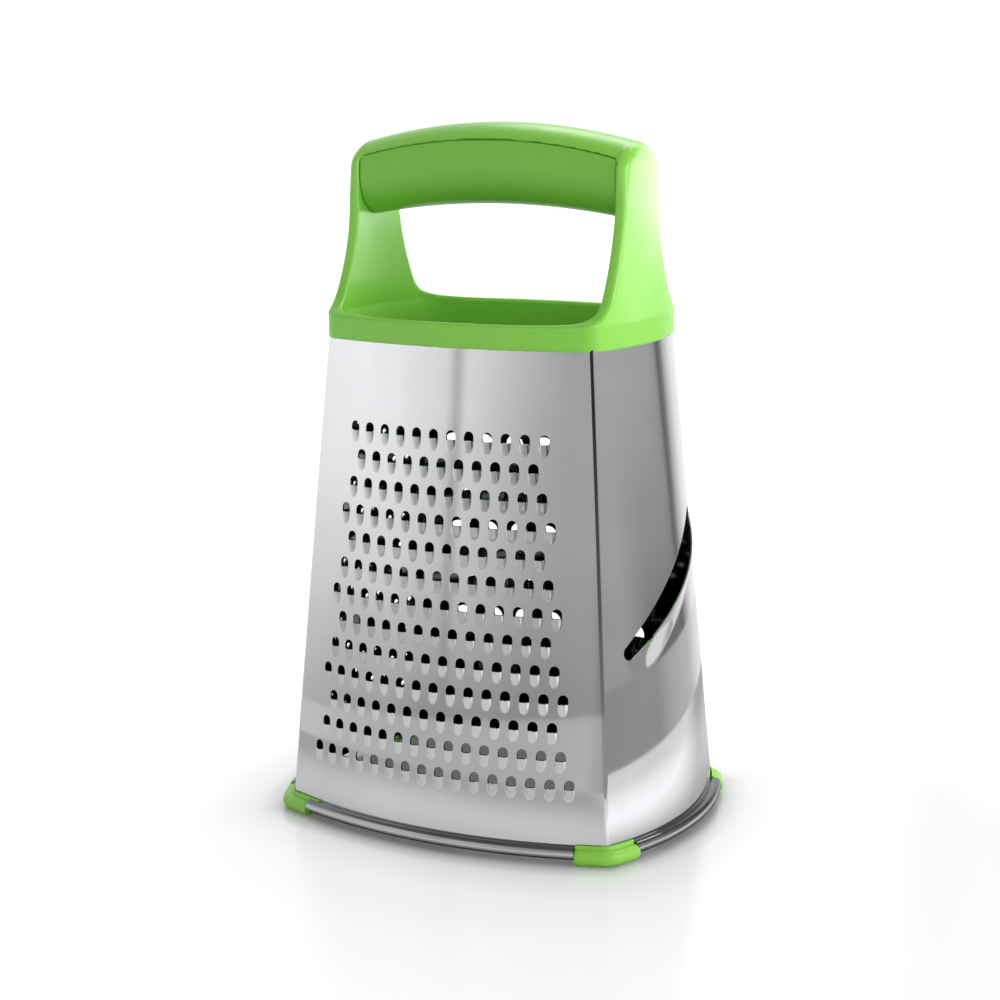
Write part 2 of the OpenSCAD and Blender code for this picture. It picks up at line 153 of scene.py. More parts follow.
def weld(*patches):
    """Joins patches into one, with shared points merged and empty faces dropped.

    The shift keeps round coordinates off the edges of the grid, where they could fall either way.
    """
    points = np.concatenate([p[0] for p in patches])
    normals = np.concatenate([p[2] for p in patches])
    keys = np.round((points + WELD_SHIFT) / WELD_GRID).astype(np.int64)
    _, first, to = np.unique(keys, axis=0, return_index=True, return_inverse=True)
    to = to.reshape(-1)
    faces, base = [], 0
    for p in patches:
        for f in p[1]:
            g = [int(to[base + i]) for i in f]
            g = [v for i, v in enumerate(g) if v != g[i - 1]]
            if len(g) > 2:
                faces.append(tuple(g))
        base += len(p[0])
    return points[first], faces, normals[first]


def face_normals(points, faces):
    out = np.zeros((len(faces), 3))
    for n, f in enumerate(faces):
        p = points[list(f)]
        out[n] = np.cross(p - p[0], np.roll(p, -1, 0) - p[0]).sum(0)
    return out


def grid_faces(rows, columns):
    return [(r * columns + c, r * columns + c + 1, (r + 1) * columns + c + 1, (r + 1) * columns + c)
            for r in range(rows - 1) for c in range(columns - 1)]


# %% [markdown]
# Sheet with openings is filled with triangles. Delaunay's rule gives the roundest ones that keep the given
# edges, and those whose middle lies in an opening are dropped.

# %% Filling flat sheet
def inside(points, outline):
    """Which points lie inside a closed outline."""
    x, y = points[:, 0], points[:, 1]
    hits = np.zeros(len(points), bool)
    for (x0, y0), (x1, y1) in zip(outline, np.roll(outline, -1, 0)):
        if y0 != y1:
            hits ^= ((y0 > y) != (y1 > y)) & (x < (x1 - x0) * (y - y0) / (y1 - y0) + x0)
    return hits


def flat_fill(outlines, extra=(), extra_edges=(), keep=None):
    """Triangles between an outer outline and its holes, with extra points where given."""
    points, edges = [], []
    for line in outlines:
        base = len(points)
        points += [tuple(p) for p in line]
        edges += [(base + i, base + (i + 1) % len(line)) for i in range(len(line))]
    base = len(points)
    points += [tuple(p) for p in extra]
    edges += [(base + a, base + b) for a, b in extra_edges]
    found = delaunay_2d_cdt([Vector(p) for p in points], edges, [], 0, 1e-5)
    flat = np.array([tuple(v) for v in found[0]])
    faces = [tuple(f) for f in found[2]]
    centres = np.array([flat[list(f)].mean(0) for f in faces])
    good = inside(centres, np.array(outlines[0]))
    for hole in outlines[1:]:
        good &= ~inside(centres, np.array(hole))
    if keep is not None:
        good &= keep(centres)
    spread = np.column_stack([flat, np.zeros(len(flat))])
    return patch(spread, [f for f, g in zip(faces, good) if g])


# %% [markdown]
# ## One tooth
# A fine tooth is stamped: a straight cut is made across the sheet, the metal under it is pushed out into a
# small scale and the metal above is punched away in an arch. The cut's edge stands about a millimetre proud
# and does the grating. One tooth is modelled once, in a rectangle of sheet that tiles with its neighbours.
# Only the top and bottom of the rectangle have points between their corners, at every quarter, so rows that
# are staggered by half a tooth still share all their points. Pressed points get no normal of their own yet:
# it comes later from the faces around them.
#
# A set of rows is a few numbers: how many rows, how far apart they and their teeth are, how high the top row
# lies, how wide half a row may be there, and how much wider each row below may be.

# %% A tile with one stamped tooth
def tile_outline(pitch, low, high):
    ends = np.array([-0.5, -0.25, 0, 0.25, 0.5]) * pitch
    return [(x, low) for x in ends] + [(x, high) for x in ends[::-1]]


def stamped_tile(pitch, rise, width, height, proud, scale_l, low):
    """Tile of sheet with one tooth whose cutting edge lies at height 0."""
    half, rim = width / 2, width * 0.08
    arch_r = min(half, height)
    arch = [(half, 0)] + [(arch_r * math.cos(a), height - arch_r + arch_r * math.sin(a))
                          for a in np.radians([0, 30, 60, 90, 120, 150, 180])] + [(-half, 0)]
    across = np.array([-1, -0.92, -0.72, -0.4, 0, 0.4, 0.72, 0.92, 1])
    deep = (1 - np.abs(across) ** 2.5) ** 0.4
    lift = np.array([0, 0.38, 0.74, 0.95, 1, 0.95, 0.74, 0.38, 0])
    ring = [(s * (half + rim), -d * (scale_l + rim)) for s, d in zip(across, deep)]
    sheet = flat_fill([tile_outline(pitch, low, low + rise), arch + ring])
    lip = [(x, z, 0) for x, z in ring] + [(s * half, -d * scale_l, 0) for s, d in zip(across, deep)]
    steps = [0, 0.3, 0.65, 1]
    dome = [(s * half, -d * scale_l * t, proud * e * (1 - t))
            for t in steps for s, d, e in zip(across, deep, lift)]
    scale = patch(dome, grid_faces(len(steps), len(across)), [PRESSED] * len(dome))
    hollow = patch(lip, grid_faces(2, len(across)), [PLAIN] * len(ring) + [PRESSED] * len(ring))
    return weld(scale, hollow, sheet)


fine = {"rows": 13, "rise": 9.9, "pitch": 6.9, "top": 144.5, "half": 38.7, "widening": 1.15, "start": 1,
        "low": -5.5}
fine["tile"] = stamped_tile(fine["pitch"], fine["rise"], 3.7, 3.3, 1.1, 4.3, fine["low"])
coarse = {"rows": 7, "rise": 18.0, "pitch": 12.7, "top": 142.6, "half": 45.0, "widening": 0.0, "start": 0,
          "low": -10.4}
coarse["tile"] = stamped_tile(coarse["pitch"], coarse["rise"], 7.2, 5.8, 2.2, 8.4, coarse["low"])
print("a fine tooth has", len(fine["tile"][1]), "faces")


# %% [markdown]
# ## One zesting hole
# A zesting hole is punched from behind with a square point, so the metal bursts outwards in a small crown.
# Its tile works like the tooth's: a diamond hole, a raised rim and flat sheet around it.

# %% A tile with one burst hole
def burst_tile(pitch, rise, width, proud):
    turns = np.radians(np.arange(0, 360, 45))
    reach = np.where(np.arange(8) % 2 == 0, width / 2, width / 2 * 0.72)
    crown = np.where(np.arange(8) % 2 == 0, 0.35, 1.0)
    foot = [(width * 0.78 * math.cos(a), width * 0.78 * math.sin(a)) for a in turns]
    middle_ring = [(width * 0.6 * math.cos(a), width * 0.6 * math.sin(a), proud * 0.45) for a in turns]
    rim = [(r * math.cos(a), r * math.sin(a), proud * c) for r, a, c in zip(reach, turns, crown)]
    rings = [(x, z, 0) for x, z in foot] + middle_ring + rim
    faces = [(r * 8 + i, r * 8 + (i + 1) % 8, (r + 1) * 8 + (i + 1) % 8, (r + 1) * 8 + i)
             for r in range(2) for i in range(8)]
    sheet = flat_fill([tile_outline(pitch, -rise / 2, rise / 2), foot])
    return weld(patch(rings, faces, [PLAIN] * 8 + [PRESSED] * 16), sheet)


zest = {"rows": 22, "rise": 6.0, "pitch": 7.0, "top": 151.4, "half": 32.5, "widening": 0.52, "start": 0,
        "low": -3.0}
zest["tile"] = burst_tile(zest["pitch"], zest["rise"], 2.6, 0.5)
print("a zesting hole has", len(zest["tile"][1]), "faces")


# %% [markdown]
# ## Finishes
# The steel is polished almost to a mirror. What tells it from chrome is small: rolling and stamping leave
# the sheet faintly uneven, and handling leaves it a little dull in patches. Both come from noise on Object
# coordinates. Inside the body, and in the crease over the hem, shade is painted into the steel: its colour is
# darkened there, and an attribute on the sheet's points says where. The plastic is a satin one. Its colour
# shifts very slightly across thick and thin places, and a fine grain softens its highlights.

# %% Finishes from nodes
def link(tree, a, b):
    tree.links.new(a, b)


def new_finish(name):
    finish = bpy.data.materials.new(name)
    finish.use_nodes = True
    tree = finish.node_tree
    shader = next(n for n in tree.nodes if n.type == "BSDF_PRINCIPLED")
    place = tree.nodes.new("ShaderNodeTexCoord")
    return finish, tree, shader, place


def noise(tree, place, scale, detail=2.0, stretch=(1, 1, 1)):
    mapping = tree.nodes.new("ShaderNodeMapping")
    mapping.inputs["Scale"].default_value = stretch
    link(tree, place.outputs["Object"], mapping.inputs["Vector"])
    texture = tree.nodes.new("ShaderNodeTexNoise")
    texture.inputs["Scale"].default_value = scale
    texture.inputs["Detail"].default_value = detail
    link(tree, mapping.outputs["Vector"], texture.inputs["Vector"])
    return texture.outputs["Fac"]


def between(tree, value, low, high, start=0.0, end=1.0):
    """Goes from low to high while the value goes from start to end, and stays there beyond them."""
    spread = tree.nodes.new("ShaderNodeMapRange")
    for title, number in (("From Min", start), ("From Max", end), ("To Min", low), ("To Max", high)):
        spread.inputs[title].default_value = number
    link(tree, value, spread.inputs["Value"])
    return spread.outputs["Result"]


def blend_colours(tree, value, first, second):
    ramp = tree.nodes.new("ShaderNodeValToRGB")
    ramp.color_ramp.elements[0].color = (*first, 1)
    ramp.color_ramp.elements[1].color = (*second, 1)
    ramp.color_ramp.elements[0].position = 0.35
    ramp.color_ramp.elements[1].position = 0.65
    link(tree, value, ramp.inputs["Fac"])
    return ramp.outputs["Color"]


def bumps(tree, shader, *layers):
    """Stacks bump layers of (height, strength, distance in metres)."""
    last = None
    for height, strength, distance in layers:
        bump = tree.nodes.new("ShaderNodeBump")
        bump.inputs["Strength"].default_value = strength
        bump.inputs["Distance"].default_value = distance
        link(tree, height, bump.inputs["Height"])
        if last:
            link(tree, last, bump.inputs["Normal"])
        last = bump.outputs["Normal"]
    link(tree, last, shader.inputs["Normal"])


def polished_steel(name, tint):
    finish, tree, shader, place = new_finish(name)
    shader.inputs["Metallic"].default_value = 1.0
    dull = tuple(c * 0.94 for c in tint)
    # Painted shade: the attribute "dark" darkens the steel's colour to a fifth on the inner skin and in the hem's
    # crease.
    side = tree.nodes.new("ShaderNodeAttribute")
    side.attribute_name = "dark"
    painted_shade = tree.nodes.new("ShaderNodeVectorMath")
    painted_shade.operation = "SCALE"
    link(tree, blend_colours(tree, noise(tree, place, 35, 3), tint, dull), painted_shade.inputs[0])
    link(tree, between(tree, side.outputs["Fac"], 1.0, 0.2), painted_shade.inputs["Scale"])
    link(tree, painted_shade.outputs[0], shader.inputs["Base Color"])
    link(tree, between(tree, noise(tree, place, 60, 4), 0.03, 0.08), shader.inputs["Roughness"])
    bumps(tree, shader,
          (noise(tree, place, 45, 1, (1, 1, 0.35)), 0.25, 0.0003),
          (noise(tree, place, 900, 2, (1, 1, 0.2)), 0.03, 0.00005))
    return finish


def moulded_plastic(name, bright, deep, rough):
    finish, tree, shader, place = new_finish(name)
    link(tree, blend_colours(tree, noise(tree, place, 22, 3), bright, deep), shader.inputs["Base Color"])
    link(tree, between(tree, noise(tree, place, 180, 3), rough - 0.05, rough + 0.07), shader.inputs["Roughness"])
    shader.inputs["Specular IOR Level"].default_value = 0.55
    bumps(tree, shader, (noise(tree, place, 1500, 2), 0.08, 0.00006))
    return finish


def colour(code):
    """Hex code to the linear values that the shader takes."""
    parts = [int(code[i:i + 2], 16) / 255 for i in (0, 2, 4)]
    return tuple(c / 12.92 if c <= 0.04045 else ((c + 0.055) / 1.055) ** 2.4 for c in parts)


steel = polished_steel("polished_steel", (0.82, 0.832, 0.852))
cap_green = moulded_plastic("cap_green", colour("96DC4F"), colour("91D74A"), 0.34)
frame_green = moulded_plastic("frame_green", colour("90DE4E"), colour("8BD949"), 0.3)
# The grip's green is a little darker than the frame's: painted shade for the band above it and its downward face.
grip_green = moulded_plastic("grip_green", colour("80CE42"), colour("7BC83D"), 0.34)
print("finishes:", [m.name for m in (steel, cap_green, frame_green, grip_green)])


# %% [markdown]
# ## Rows of teeth with Geometry Nodes
# The teeth repeat, so a node tree lays them out. It makes one point for every half step of every row, keeps
# those that fall in step with the stagger and inside the face, and puts the tile on each. The same tree
# serves the fine teeth, the coarse teeth and the zesting holes, because only its inputs differ. It ends by
# realising the instances, welding the shared points and giving the steel.

# %% The tree that lays out rows
def math_node(tree, operation, a, b=None):
    node = tree.nodes.new("ShaderNodeMath")
    node.operation = operation
    for socket, value in zip(node.inputs, (a, b)):
        if value is None:
            continue
        if isinstance(value, (int, float)):
            socket.default_value = value
        else:
            tree.links.new(value, socket)
    return node.outputs[0]


def rows_tree():
    tree = bpy.data.node_groups.new("Staggered rows", "GeometryNodeTree")
    sockets = [("Tile", "Geometry"), ("Rows", "Int"), ("Half steps", "Int"), ("Pitch", "Float"),
               ("Row spacing", "Float"), ("Top row height", "Float"), ("Half width at the top row", "Float"),
               ("Widening per row", "Float"), ("First row offset", "Int"), ("Finish", "Material")]
    for title, kind in sockets:
        tree.interface.new_socket(title, in_out="INPUT", socket_type="NodeSocket" + kind)
    tree.interface.new_socket("Sheet", in_out="OUTPUT", socket_type="NodeSocketGeometry")
    given = tree.nodes.new("NodeGroupInput").outputs
    result = tree.nodes.new("NodeGroupOutput")
    points = tree.nodes.new("GeometryNodePoints")
    link(tree, math_node(tree, "MULTIPLY", given["Rows"], given["Half steps"]), points.inputs["Count"])
    index = tree.nodes.new("GeometryNodeInputIndex").outputs[0]
    row = math_node(tree, "FLOOR", math_node(tree, "DIVIDE", math_node(tree, "ADD", index, 0.5),
                                             given["Half steps"]))
    column = math_node(tree, "SUBTRACT", index, math_node(tree, "MULTIPLY", row, given["Half steps"]))
    step = math_node(tree, "SUBTRACT", column, math_node(
        tree, "DIVIDE", math_node(tree, "SUBTRACT", given["Half steps"], 1), 2))
    sideways = math_node(tree, "MULTIPLY", step, math_node(tree, "DIVIDE", given["Pitch"], 2))
    height = math_node(tree, "SUBTRACT", given["Top row height"],
                       math_node(tree, "MULTIPLY", row, given["Row spacing"]))
    parity = math_node(tree, "MODULO", math_node(tree, "ADD", math_node(
        tree, "ADD", column, row), given["First row offset"]), 2)
    in_step = math_node(tree, "LESS_THAN", parity, 0.5)
    reach = math_node(tree, "ADD", given["Half width at the top row"],
                      math_node(tree, "MULTIPLY", row, given["Widening per row"]))
    in_face = math_node(tree, "LESS_THAN", math_node(tree, "ABSOLUTE", sideways), reach)
    place = tree.nodes.new("ShaderNodeCombineXYZ")
    link(tree, sideways, place.inputs["X"])
    link(tree, height, place.inputs["Z"])
    moved = tree.nodes.new("GeometryNodeSetPosition")
    link(tree, points.outputs[0], moved.inputs["Geometry"])
    link(tree, place.outputs[0], moved.inputs["Position"])
    put = tree.nodes.new("GeometryNodeInstanceOnPoints")
    link(tree, moved.outputs[0], put.inputs["Points"])
    link(tree, math_node(tree, "MULTIPLY", in_step, in_face), put.inputs["Selection"])
    link(tree, given["Tile"], put.inputs["Instance"])
    real = tree.nodes.new("GeometryNodeRealizeInstances")
    link(tree, put.outputs[0], real.inputs[0])
    merged = tree.nodes.new("GeometryNodeMergeByDistance")
    merged.inputs["Distance"].default_value = 0.01
    link(tree, real.outputs[0], merged.inputs["Geometry"])
    finish = tree.nodes.new("GeometryNodeSetMaterial")
    link(tree, merged.outputs[0], finish.inputs["Geometry"])
    link(tree, given["Finish"], finish.inputs["Material"])
    link(tree, finish.outputs[0], result.inputs[0])
    return tree


staggered_rows = rows_tree()
print("the tree has", len(staggered_rows.nodes), "nodes")


# %% Laying out rows flat
def row_counts(rows):
    """How many tiles each row gets, by the same rule as the tree."""
    counts = []
    for r in range(rows["rows"]):
        most = math.ceil(2 * (rows["half"] + r * rows["widening"]) / rows["pitch"]) - 1
        odd = (r + rows["start"]) % 2
        most -= (most - odd) % 2
        counts.append(most + 1)
    return counts


def lay_rows(name, rows):
    """Runs the tree on a tile and returns the flat patch that it makes."""
    points, faces, normals = rows["tile"]
    mesh = bpy.data.meshes.new(name)
    mesh.from_pydata(np.column_stack([points[:, 0], -points[:, 2], points[:, 1]]), [], faces)
    plain = mesh.attributes.new("plain", "FLOAT", "POINT")
    plain.data.foreach_set("value", normals[:, 2].astype(np.float32))
    piece = add_object(name, mesh)
    layout = piece.modifiers.new("rows", "NODES")
    layout.node_group = staggered_rows
    half_steps = 2 * math.ceil(2 * (rows["half"] + rows["rows"] * rows["widening"]) / rows["pitch"]) + 1
    half_steps += 2 if half_steps % 4 == 3 else 0  # the middle column has to be an even one
    values = {"Rows": rows["rows"], "Half steps": half_steps, "Pitch": rows["pitch"],
              "Row spacing": rows["rise"], "Top row height": rows["top"],
              "Half width at the top row": rows["half"], "Widening per row": rows["widening"],
              "First row offset": rows["start"], "Finish": steel}
    for item in staggered_rows.interface.items_tree:
        if item.name in values:
            layout[item.identifier] = values[item.name]
    made = bpy.data.meshes.new_from_object(piece.evaluated_get(bpy.context.evaluated_depsgraph_get()))
    flat = np.zeros(len(made.vertices) * 3)
    made.vertices.foreach_get("co", flat)
    flat = flat.reshape(-1, 3)
    kind = np.zeros(len(made.vertices))
    made.attributes["plain"].data.foreach_get("value", kind)
    faces = [tuple(p.vertices) for p in made.polygons]
    normals = np.column_stack([kind * 0, kind * 0, np.where(kind > 0.5, 1.0, 0.0)])
    bpy.data.objects.remove(piece)
    bpy.data.meshes.remove(made)
    return np.column_stack([flat[:, 0], flat[:, 2], -flat[:, 1]]), faces, normals


fine["sheet"] = lay_rows("fine_rows", fine)
coarse["sheet"] = lay_rows("coarse_rows", coarse)
zest["sheet"] = lay_rows("zest_rows", zest)
for title, rows in (("fine", fine), ("coarse", coarse), ("zesting", zest)):
    print(title, "rows:", row_counts(rows), "total", sum(row_counts(rows)), "faces", len(rows["sheet"][1]))


# %% [markdown]
# ## The plain sheet around the rows
# Around the teeth the sheet is smooth. It is filled with triangles between the face's outline and the stepped
# edge of the rows. The triangles don't have to be pretty: the bend gives their points exact normals.

# %% Plain sheet
HEM_R, HEM_OUT, HEM_GAP = 1.55, 1.7, 0.2
CAP_R, CAP_BEND, CAP_Z = 2.75, 8.0, 2.5
FRONT_LEG, SIDE_LEG, LIP_RUN = 9.0, 9.0, 4.5
EDGE_STEP = 5.0
levels = np.concatenate([[SHEET_FOOT, HEM_Z], np.linspace(8, SHEET_TOP, 31)])


def hem_half(face, other, leg):
    """Half the hem's length, measured on the sheet: it ends just short of a cap's leg."""
    start = corner_circle(face, other, HEM_Z, HEM_OUT, CAP_BEND)[1]
    return (start - (leg + HEM_GAP) / (face["bow"] + HEM_OUT)) * face["bow"]


def foot_line(face, other, hem_end):
    """Points along the foot of a face, with one on each side where the hem ends."""
    edge = edge_of(face, other, HEM_Z)
    count = int(2 * edge / EDGE_STEP)
    line = np.array([edge * (2 * i / count - 1) for i in range(count + 1)])
    for end in (-hem_end, hem_end):
        line[np.abs(line - end).argmin()] = end
    return line


def plain_sheet(face, other, hem_end, rows=None, hole=None):
    """Sheet between a face's outline and the stepped edge of its rows, or round a hole."""
    lines = levels[1:]
    edge = [edge_of(face, other, z) for z in lines]
    count = int(2 * edge[0] / EDGE_STEP)
    foot = [(u, HEM_Z) for u in foot_line(face, other, hem_end)]
    head = [(edge[-1] * (1 - 2 * i / count), SHEET_TOP) for i in range(count + 1)]
    outline = (foot + [(e, z) for e, z in zip(edge[1:-1], lines[1:-1])] + head
               + [(-e, z) for e, z in zip(edge[-2:0:-1], lines[-2:0:-1])])
    extra, extra_edges, boxes = [], [], []
    if rows:
        counts = row_counts(rows)
        for r, n in enumerate(counts):
            low = rows["top"] - r * rows["rise"] + rows["low"]
            boxes.append((n * rows["pitch"] / 2, low, low + rows["rise"]))
        for r in range(len(counts) + 1):
            wide = max(counts[max(r - 1, 0)], counts[min(r, len(counts) - 1)])
            z = boxes[min(r, len(counts) - 1)][2] if r < len(counts) else boxes[-1][1]
            base = len(extra)
            extra += [(rows["pitch"] * q / 4, z) for q in range(-2 * wide, 2 * wide + 1)]
            extra_edges += [(base + i, base + i + 1) for i in range(4 * wide)]
        for x, low, high in boxes:
            for side in (-x, x):
                base = len(extra)
                extra += [(side, low), (side, high)]
                extra_edges.append((base, base + 1))
    if hole is not None:
        base = len(extra)
        extra += [tuple(p) for p in hole]
        extra_edges += [(base + i, base + (i + 1) % len(hole)) for i in range(len(hole))]

    def free(points, gap=0.0):
        good = np.ones(len(points), bool)
        for x, low, high in boxes:
            good &= ~((np.abs(points[:, 0]) < x + gap) & (points[:, 1] > low - gap) & (points[:, 1] < high + gap))
        if hole is not None:
            good &= ~inside(points, np.array(hole))
            if gap:
                near = np.linalg.norm(points[:, None] - np.array(hole)[None], axis=2).min(1)
                good &= near > gap
        return good

    spots = np.array([(x, z) for z in lines[1:-1] for x in np.arange(-70, 71, EDGE_STEP)
                      if abs(x) < edge_of(face, other, z) - EDGE_STEP / 2])
    extra += [tuple(p) for p in spots[free(spots, 2.0)]]
    return flat_fill([outline], extra, extra_edges, free)


print("the front hem is", round(2 * hem_half(FRONT, SIDE, FRONT_LEG), 1), "mm long and the side hem",
      round(2 * hem_half(SIDE, FRONT, SIDE_LEG), 1), "mm")


# %% [markdown]
# ## Rolled hem and rounded corners
# The foot of each face is curled outwards, nearly a full turn, so that no sharp edge is left below. The curl is a
# circle of points, repeated along the foot between two caps. Inside the caps the sheet ends straight. At its
# sides a face turns the corner with a small radius: each face owns the near half of both its corners, and the
# halves of two faces meet in one line.

# %% Hem and corners
def foot_strips(face, other, hem_end):
    """The rolled hem between the caps, and the straight foot of the sheet inside the caps."""
    line = foot_line(face, other, hem_end)
    turned = line[np.abs(line) <= hem_end + 0.001]
    turns = np.radians(np.linspace(180, 506, 30))
    points = [(u, HEM_Z + HEM_R * math.sin(a), HEM_R + HEM_R * math.cos(a)) for a in turns for u in turned]
    normals = [(0, -math.sin(a), -math.cos(a)) for a in turns for u in turned]
    parts = [patch(points, grid_faces(len(turns), len(turned)), normals)]
    for side in (line[line <= turned[0] + 0.01], line[line >= turned[-1] - 0.01]):
        rest = [(u, z, 0) for z in (SHEET_FOOT, HEM_Z) for u in side]
        parts.append(patch(rest, grid_faces(2, len(side))))
    return parts


def corner_strips(face, other, sideways):
    """Half of a rounded corner, already bent, as (sideways, outwards, up)."""
    steps = 6
    points, normals = [], []
    for z in levels:
        centre, start, end = corner_circle(face, other, z)
        half_way = (start + end) / 2
        shift = corner_circle(face, other, z + 1)[0] - centre
        for q in range(steps + 1):
            a = start + (half_way - start) * q / steps
            out = np.array([math.sin(a), math.cos(a)])
            spot = centre + CORNER * out
            normal = np.array([out[0], out[1], -shift @ out])
            normal /= np.linalg.norm(normal)
            points.append((spot[0] * sideways, spot[1], z))
            normals.append((normal[0] * sideways, normal[1], normal[2]))
    return patch(points, grid_faces(len(levels), steps + 1), normals)


# %% [markdown]
# ## From a bent skin to real sheet
# A skin without thickness looks like paper where it is cut. So every skin gets a second one 0.6 mm behind it
# and a narrow rim along each free edge: round the openings, along the cutting edges and down the hem's curl.
# The rims keep flat normals, so the cut edges stay crisp, and the two skins keep their exact ones.

# %% Thickness
# Heights over the hem, in mm, of the painted shade: on the inner skin above the first, and on the curl between the
# crease's pair.
DARK_ABOVE_HEM, CREASE = 2.5, (0.5, 3.0)


def smooth_pressed(points, faces, normals):
    """Gives the pressed points of a flat patch their normals from the faces around them."""
    loose = np.linalg.norm(normals, axis=1) < 0.5
    total = np.zeros_like(points)
    for f, n in zip(faces, face_normals(points, faces)):
        n = n if n[2] >= 0 else -n
        for v in f:
            total[v] += n
    total /= np.maximum(np.linalg.norm(total, axis=1, keepdims=True), 1e-9)
    normals = normals.copy()
    normals[loose] = total[loose]
    return normals


def sheet_piece(name, points, faces, normals, finish):
    """A skin in millimetres becomes a closed sheet with a rim round every free edge.

    Its attribute "dark" is painted shade: 1 on the inner skin above the hem, which lies in the body's shade, and
    where the hem's curl faces up into its shaded crease.
    """
    towards = face_normals(points, faces)
    faces = [f if towards[n] @ normals[list(f)].mean(0) >= 0 else f[::-1] for n, f in enumerate(faces)]
    edges = {(f[i], f[(i + 1) % len(f)]) for f in faces for i in range(len(f))}
    free = [(a, b) for a, b in edges if (b, a) not in edges]
    count = len(points)
    both = np.concatenate([points, points - SHEET * normals])
    back = [tuple(v + count for v in f[::-1]) for f in faces]
    rims = [(b, a, a + count, b + count) for a, b in sorted(free)]
    flat = face_normals(both, rims)
    flat /= np.maximum(np.linalg.norm(flat, axis=1, keepdims=True), 1e-9)
    loops = [normals[v] for f in faces for v in f] + [-normals[v - count] for f in back for v in f]
    loops += [n for n in flat for _ in range(4)]
    piece = finished_piece(name, both, faces + back + rims, loops, finish)
    # Painted shade: the inner skin above the hem, and the curl where it faces up into the crease, are marked dark.
    in_crease = (both[count:, 2] > HEM_Z + CREASE[0]) & (both[count:, 2] < HEM_Z + CREASE[1])
    facing_up = np.clip((-normals[:, 2] - 0.35) / 0.35, 0, 1)
    dark = np.zeros(2 * count)
    dark[count:] = np.maximum(points[:, 2] > HEM_Z + DARK_ABOVE_HEM, np.where(in_crease, facing_up, 0))
    piece.data.attributes.new("dark", "FLOAT", "POINT").data.foreach_set("value", dark.astype(np.float32))
    return piece


def finished_piece(name, points, faces, loops, finish):
    """A mesh with exact normals: one for each corner of each face."""
    mesh = bpy.data.meshes.new(name)
    mesh.from_pydata(points * MM, [], faces)
    mesh.materials.append(finish)
    mesh.shade_smooth()
    mesh.normals_split_custom_set([tuple(n) for n in loops])
    return add_object(name, mesh)


# %% [markdown]
# ## The four faces
# All four faces are made by the same steps: lay out flat, bend, join the corners, turn to the right side of the
# grater and give thickness. Only the sizes, the rows and the slot differ.

# %% Front, rear and left faces
TURNS = {"front": ((1, 0), (0, -1)), "rear": ((-1, 0), (0, 1)), "right": ((0, 1), (1, 0)), "left": ((0, -1), (-1, 0))}


def build_face(side, face, other, leg, rows=None, hole=None, extra=()):
    """One stamped face: laid out flat, bent, joined to its corners, placed and given thickness."""
    hem_end = hem_half(face, other, leg)
    parts = [plain_sheet(face, other, hem_end, rows, hole)] + foot_strips(face, other, hem_end) + list(extra)
    if rows:
        parts.append(rows["sheet"])
    points, faces, normals = weld(*parts)
    points, normals = bend(face, points, smooth_pressed(points, faces, normals))
    points, faces, normals = weld((points, faces, normals), corner_strips(face, other, 1),
                                  corner_strips(face, other, -1))
    along, out = TURNS[side]
    place = np.array([[along[0], out[0], 0], [along[1], out[1], 0], [0, 0, 1]])
    piece = sheet_piece(side + "_sheet", points @ place.T, faces, normals @ place.T, steel)
    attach(piece, "root")
    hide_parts(side + "_panel")
    print(side, "face:", len(piece.data.polygons), "faces")


build_face("front", FRONT, SIDE, FRONT_LEG, fine)
build_face("rear", FRONT, SIDE, FRONT_LEG, coarse)
build_face("left", SIDE, FRONT, SIDE_LEG, zest)


# %% [markdown]
# ## The slicing slot
# On the right face a long slot crosses the sheet at a slant. The metal under it is pressed out into a ramp,
# whose upper edge is the blade. Its tallest point is in the middle and it fades into the face at both ends.
# The ramp is drawn between two lines: the slot's lower edge and the foot where the ramp meets the face.

# %% Slot and ramp
SLOPE = math.radians(31.4)
SLOT_Z, SLOT_HALF, SLOT_W = 90.4, 39.0, 5.0
RAMP, RAMP_H, RAMP_FILLET = 10.0, 3.9, 0.7


def on_slot(s, w):
    return s * math.cos(SLOPE) - w * math.sin(SLOPE), SLOT_Z + s * math.sin(SLOPE) + w * math.cos(SLOPE)


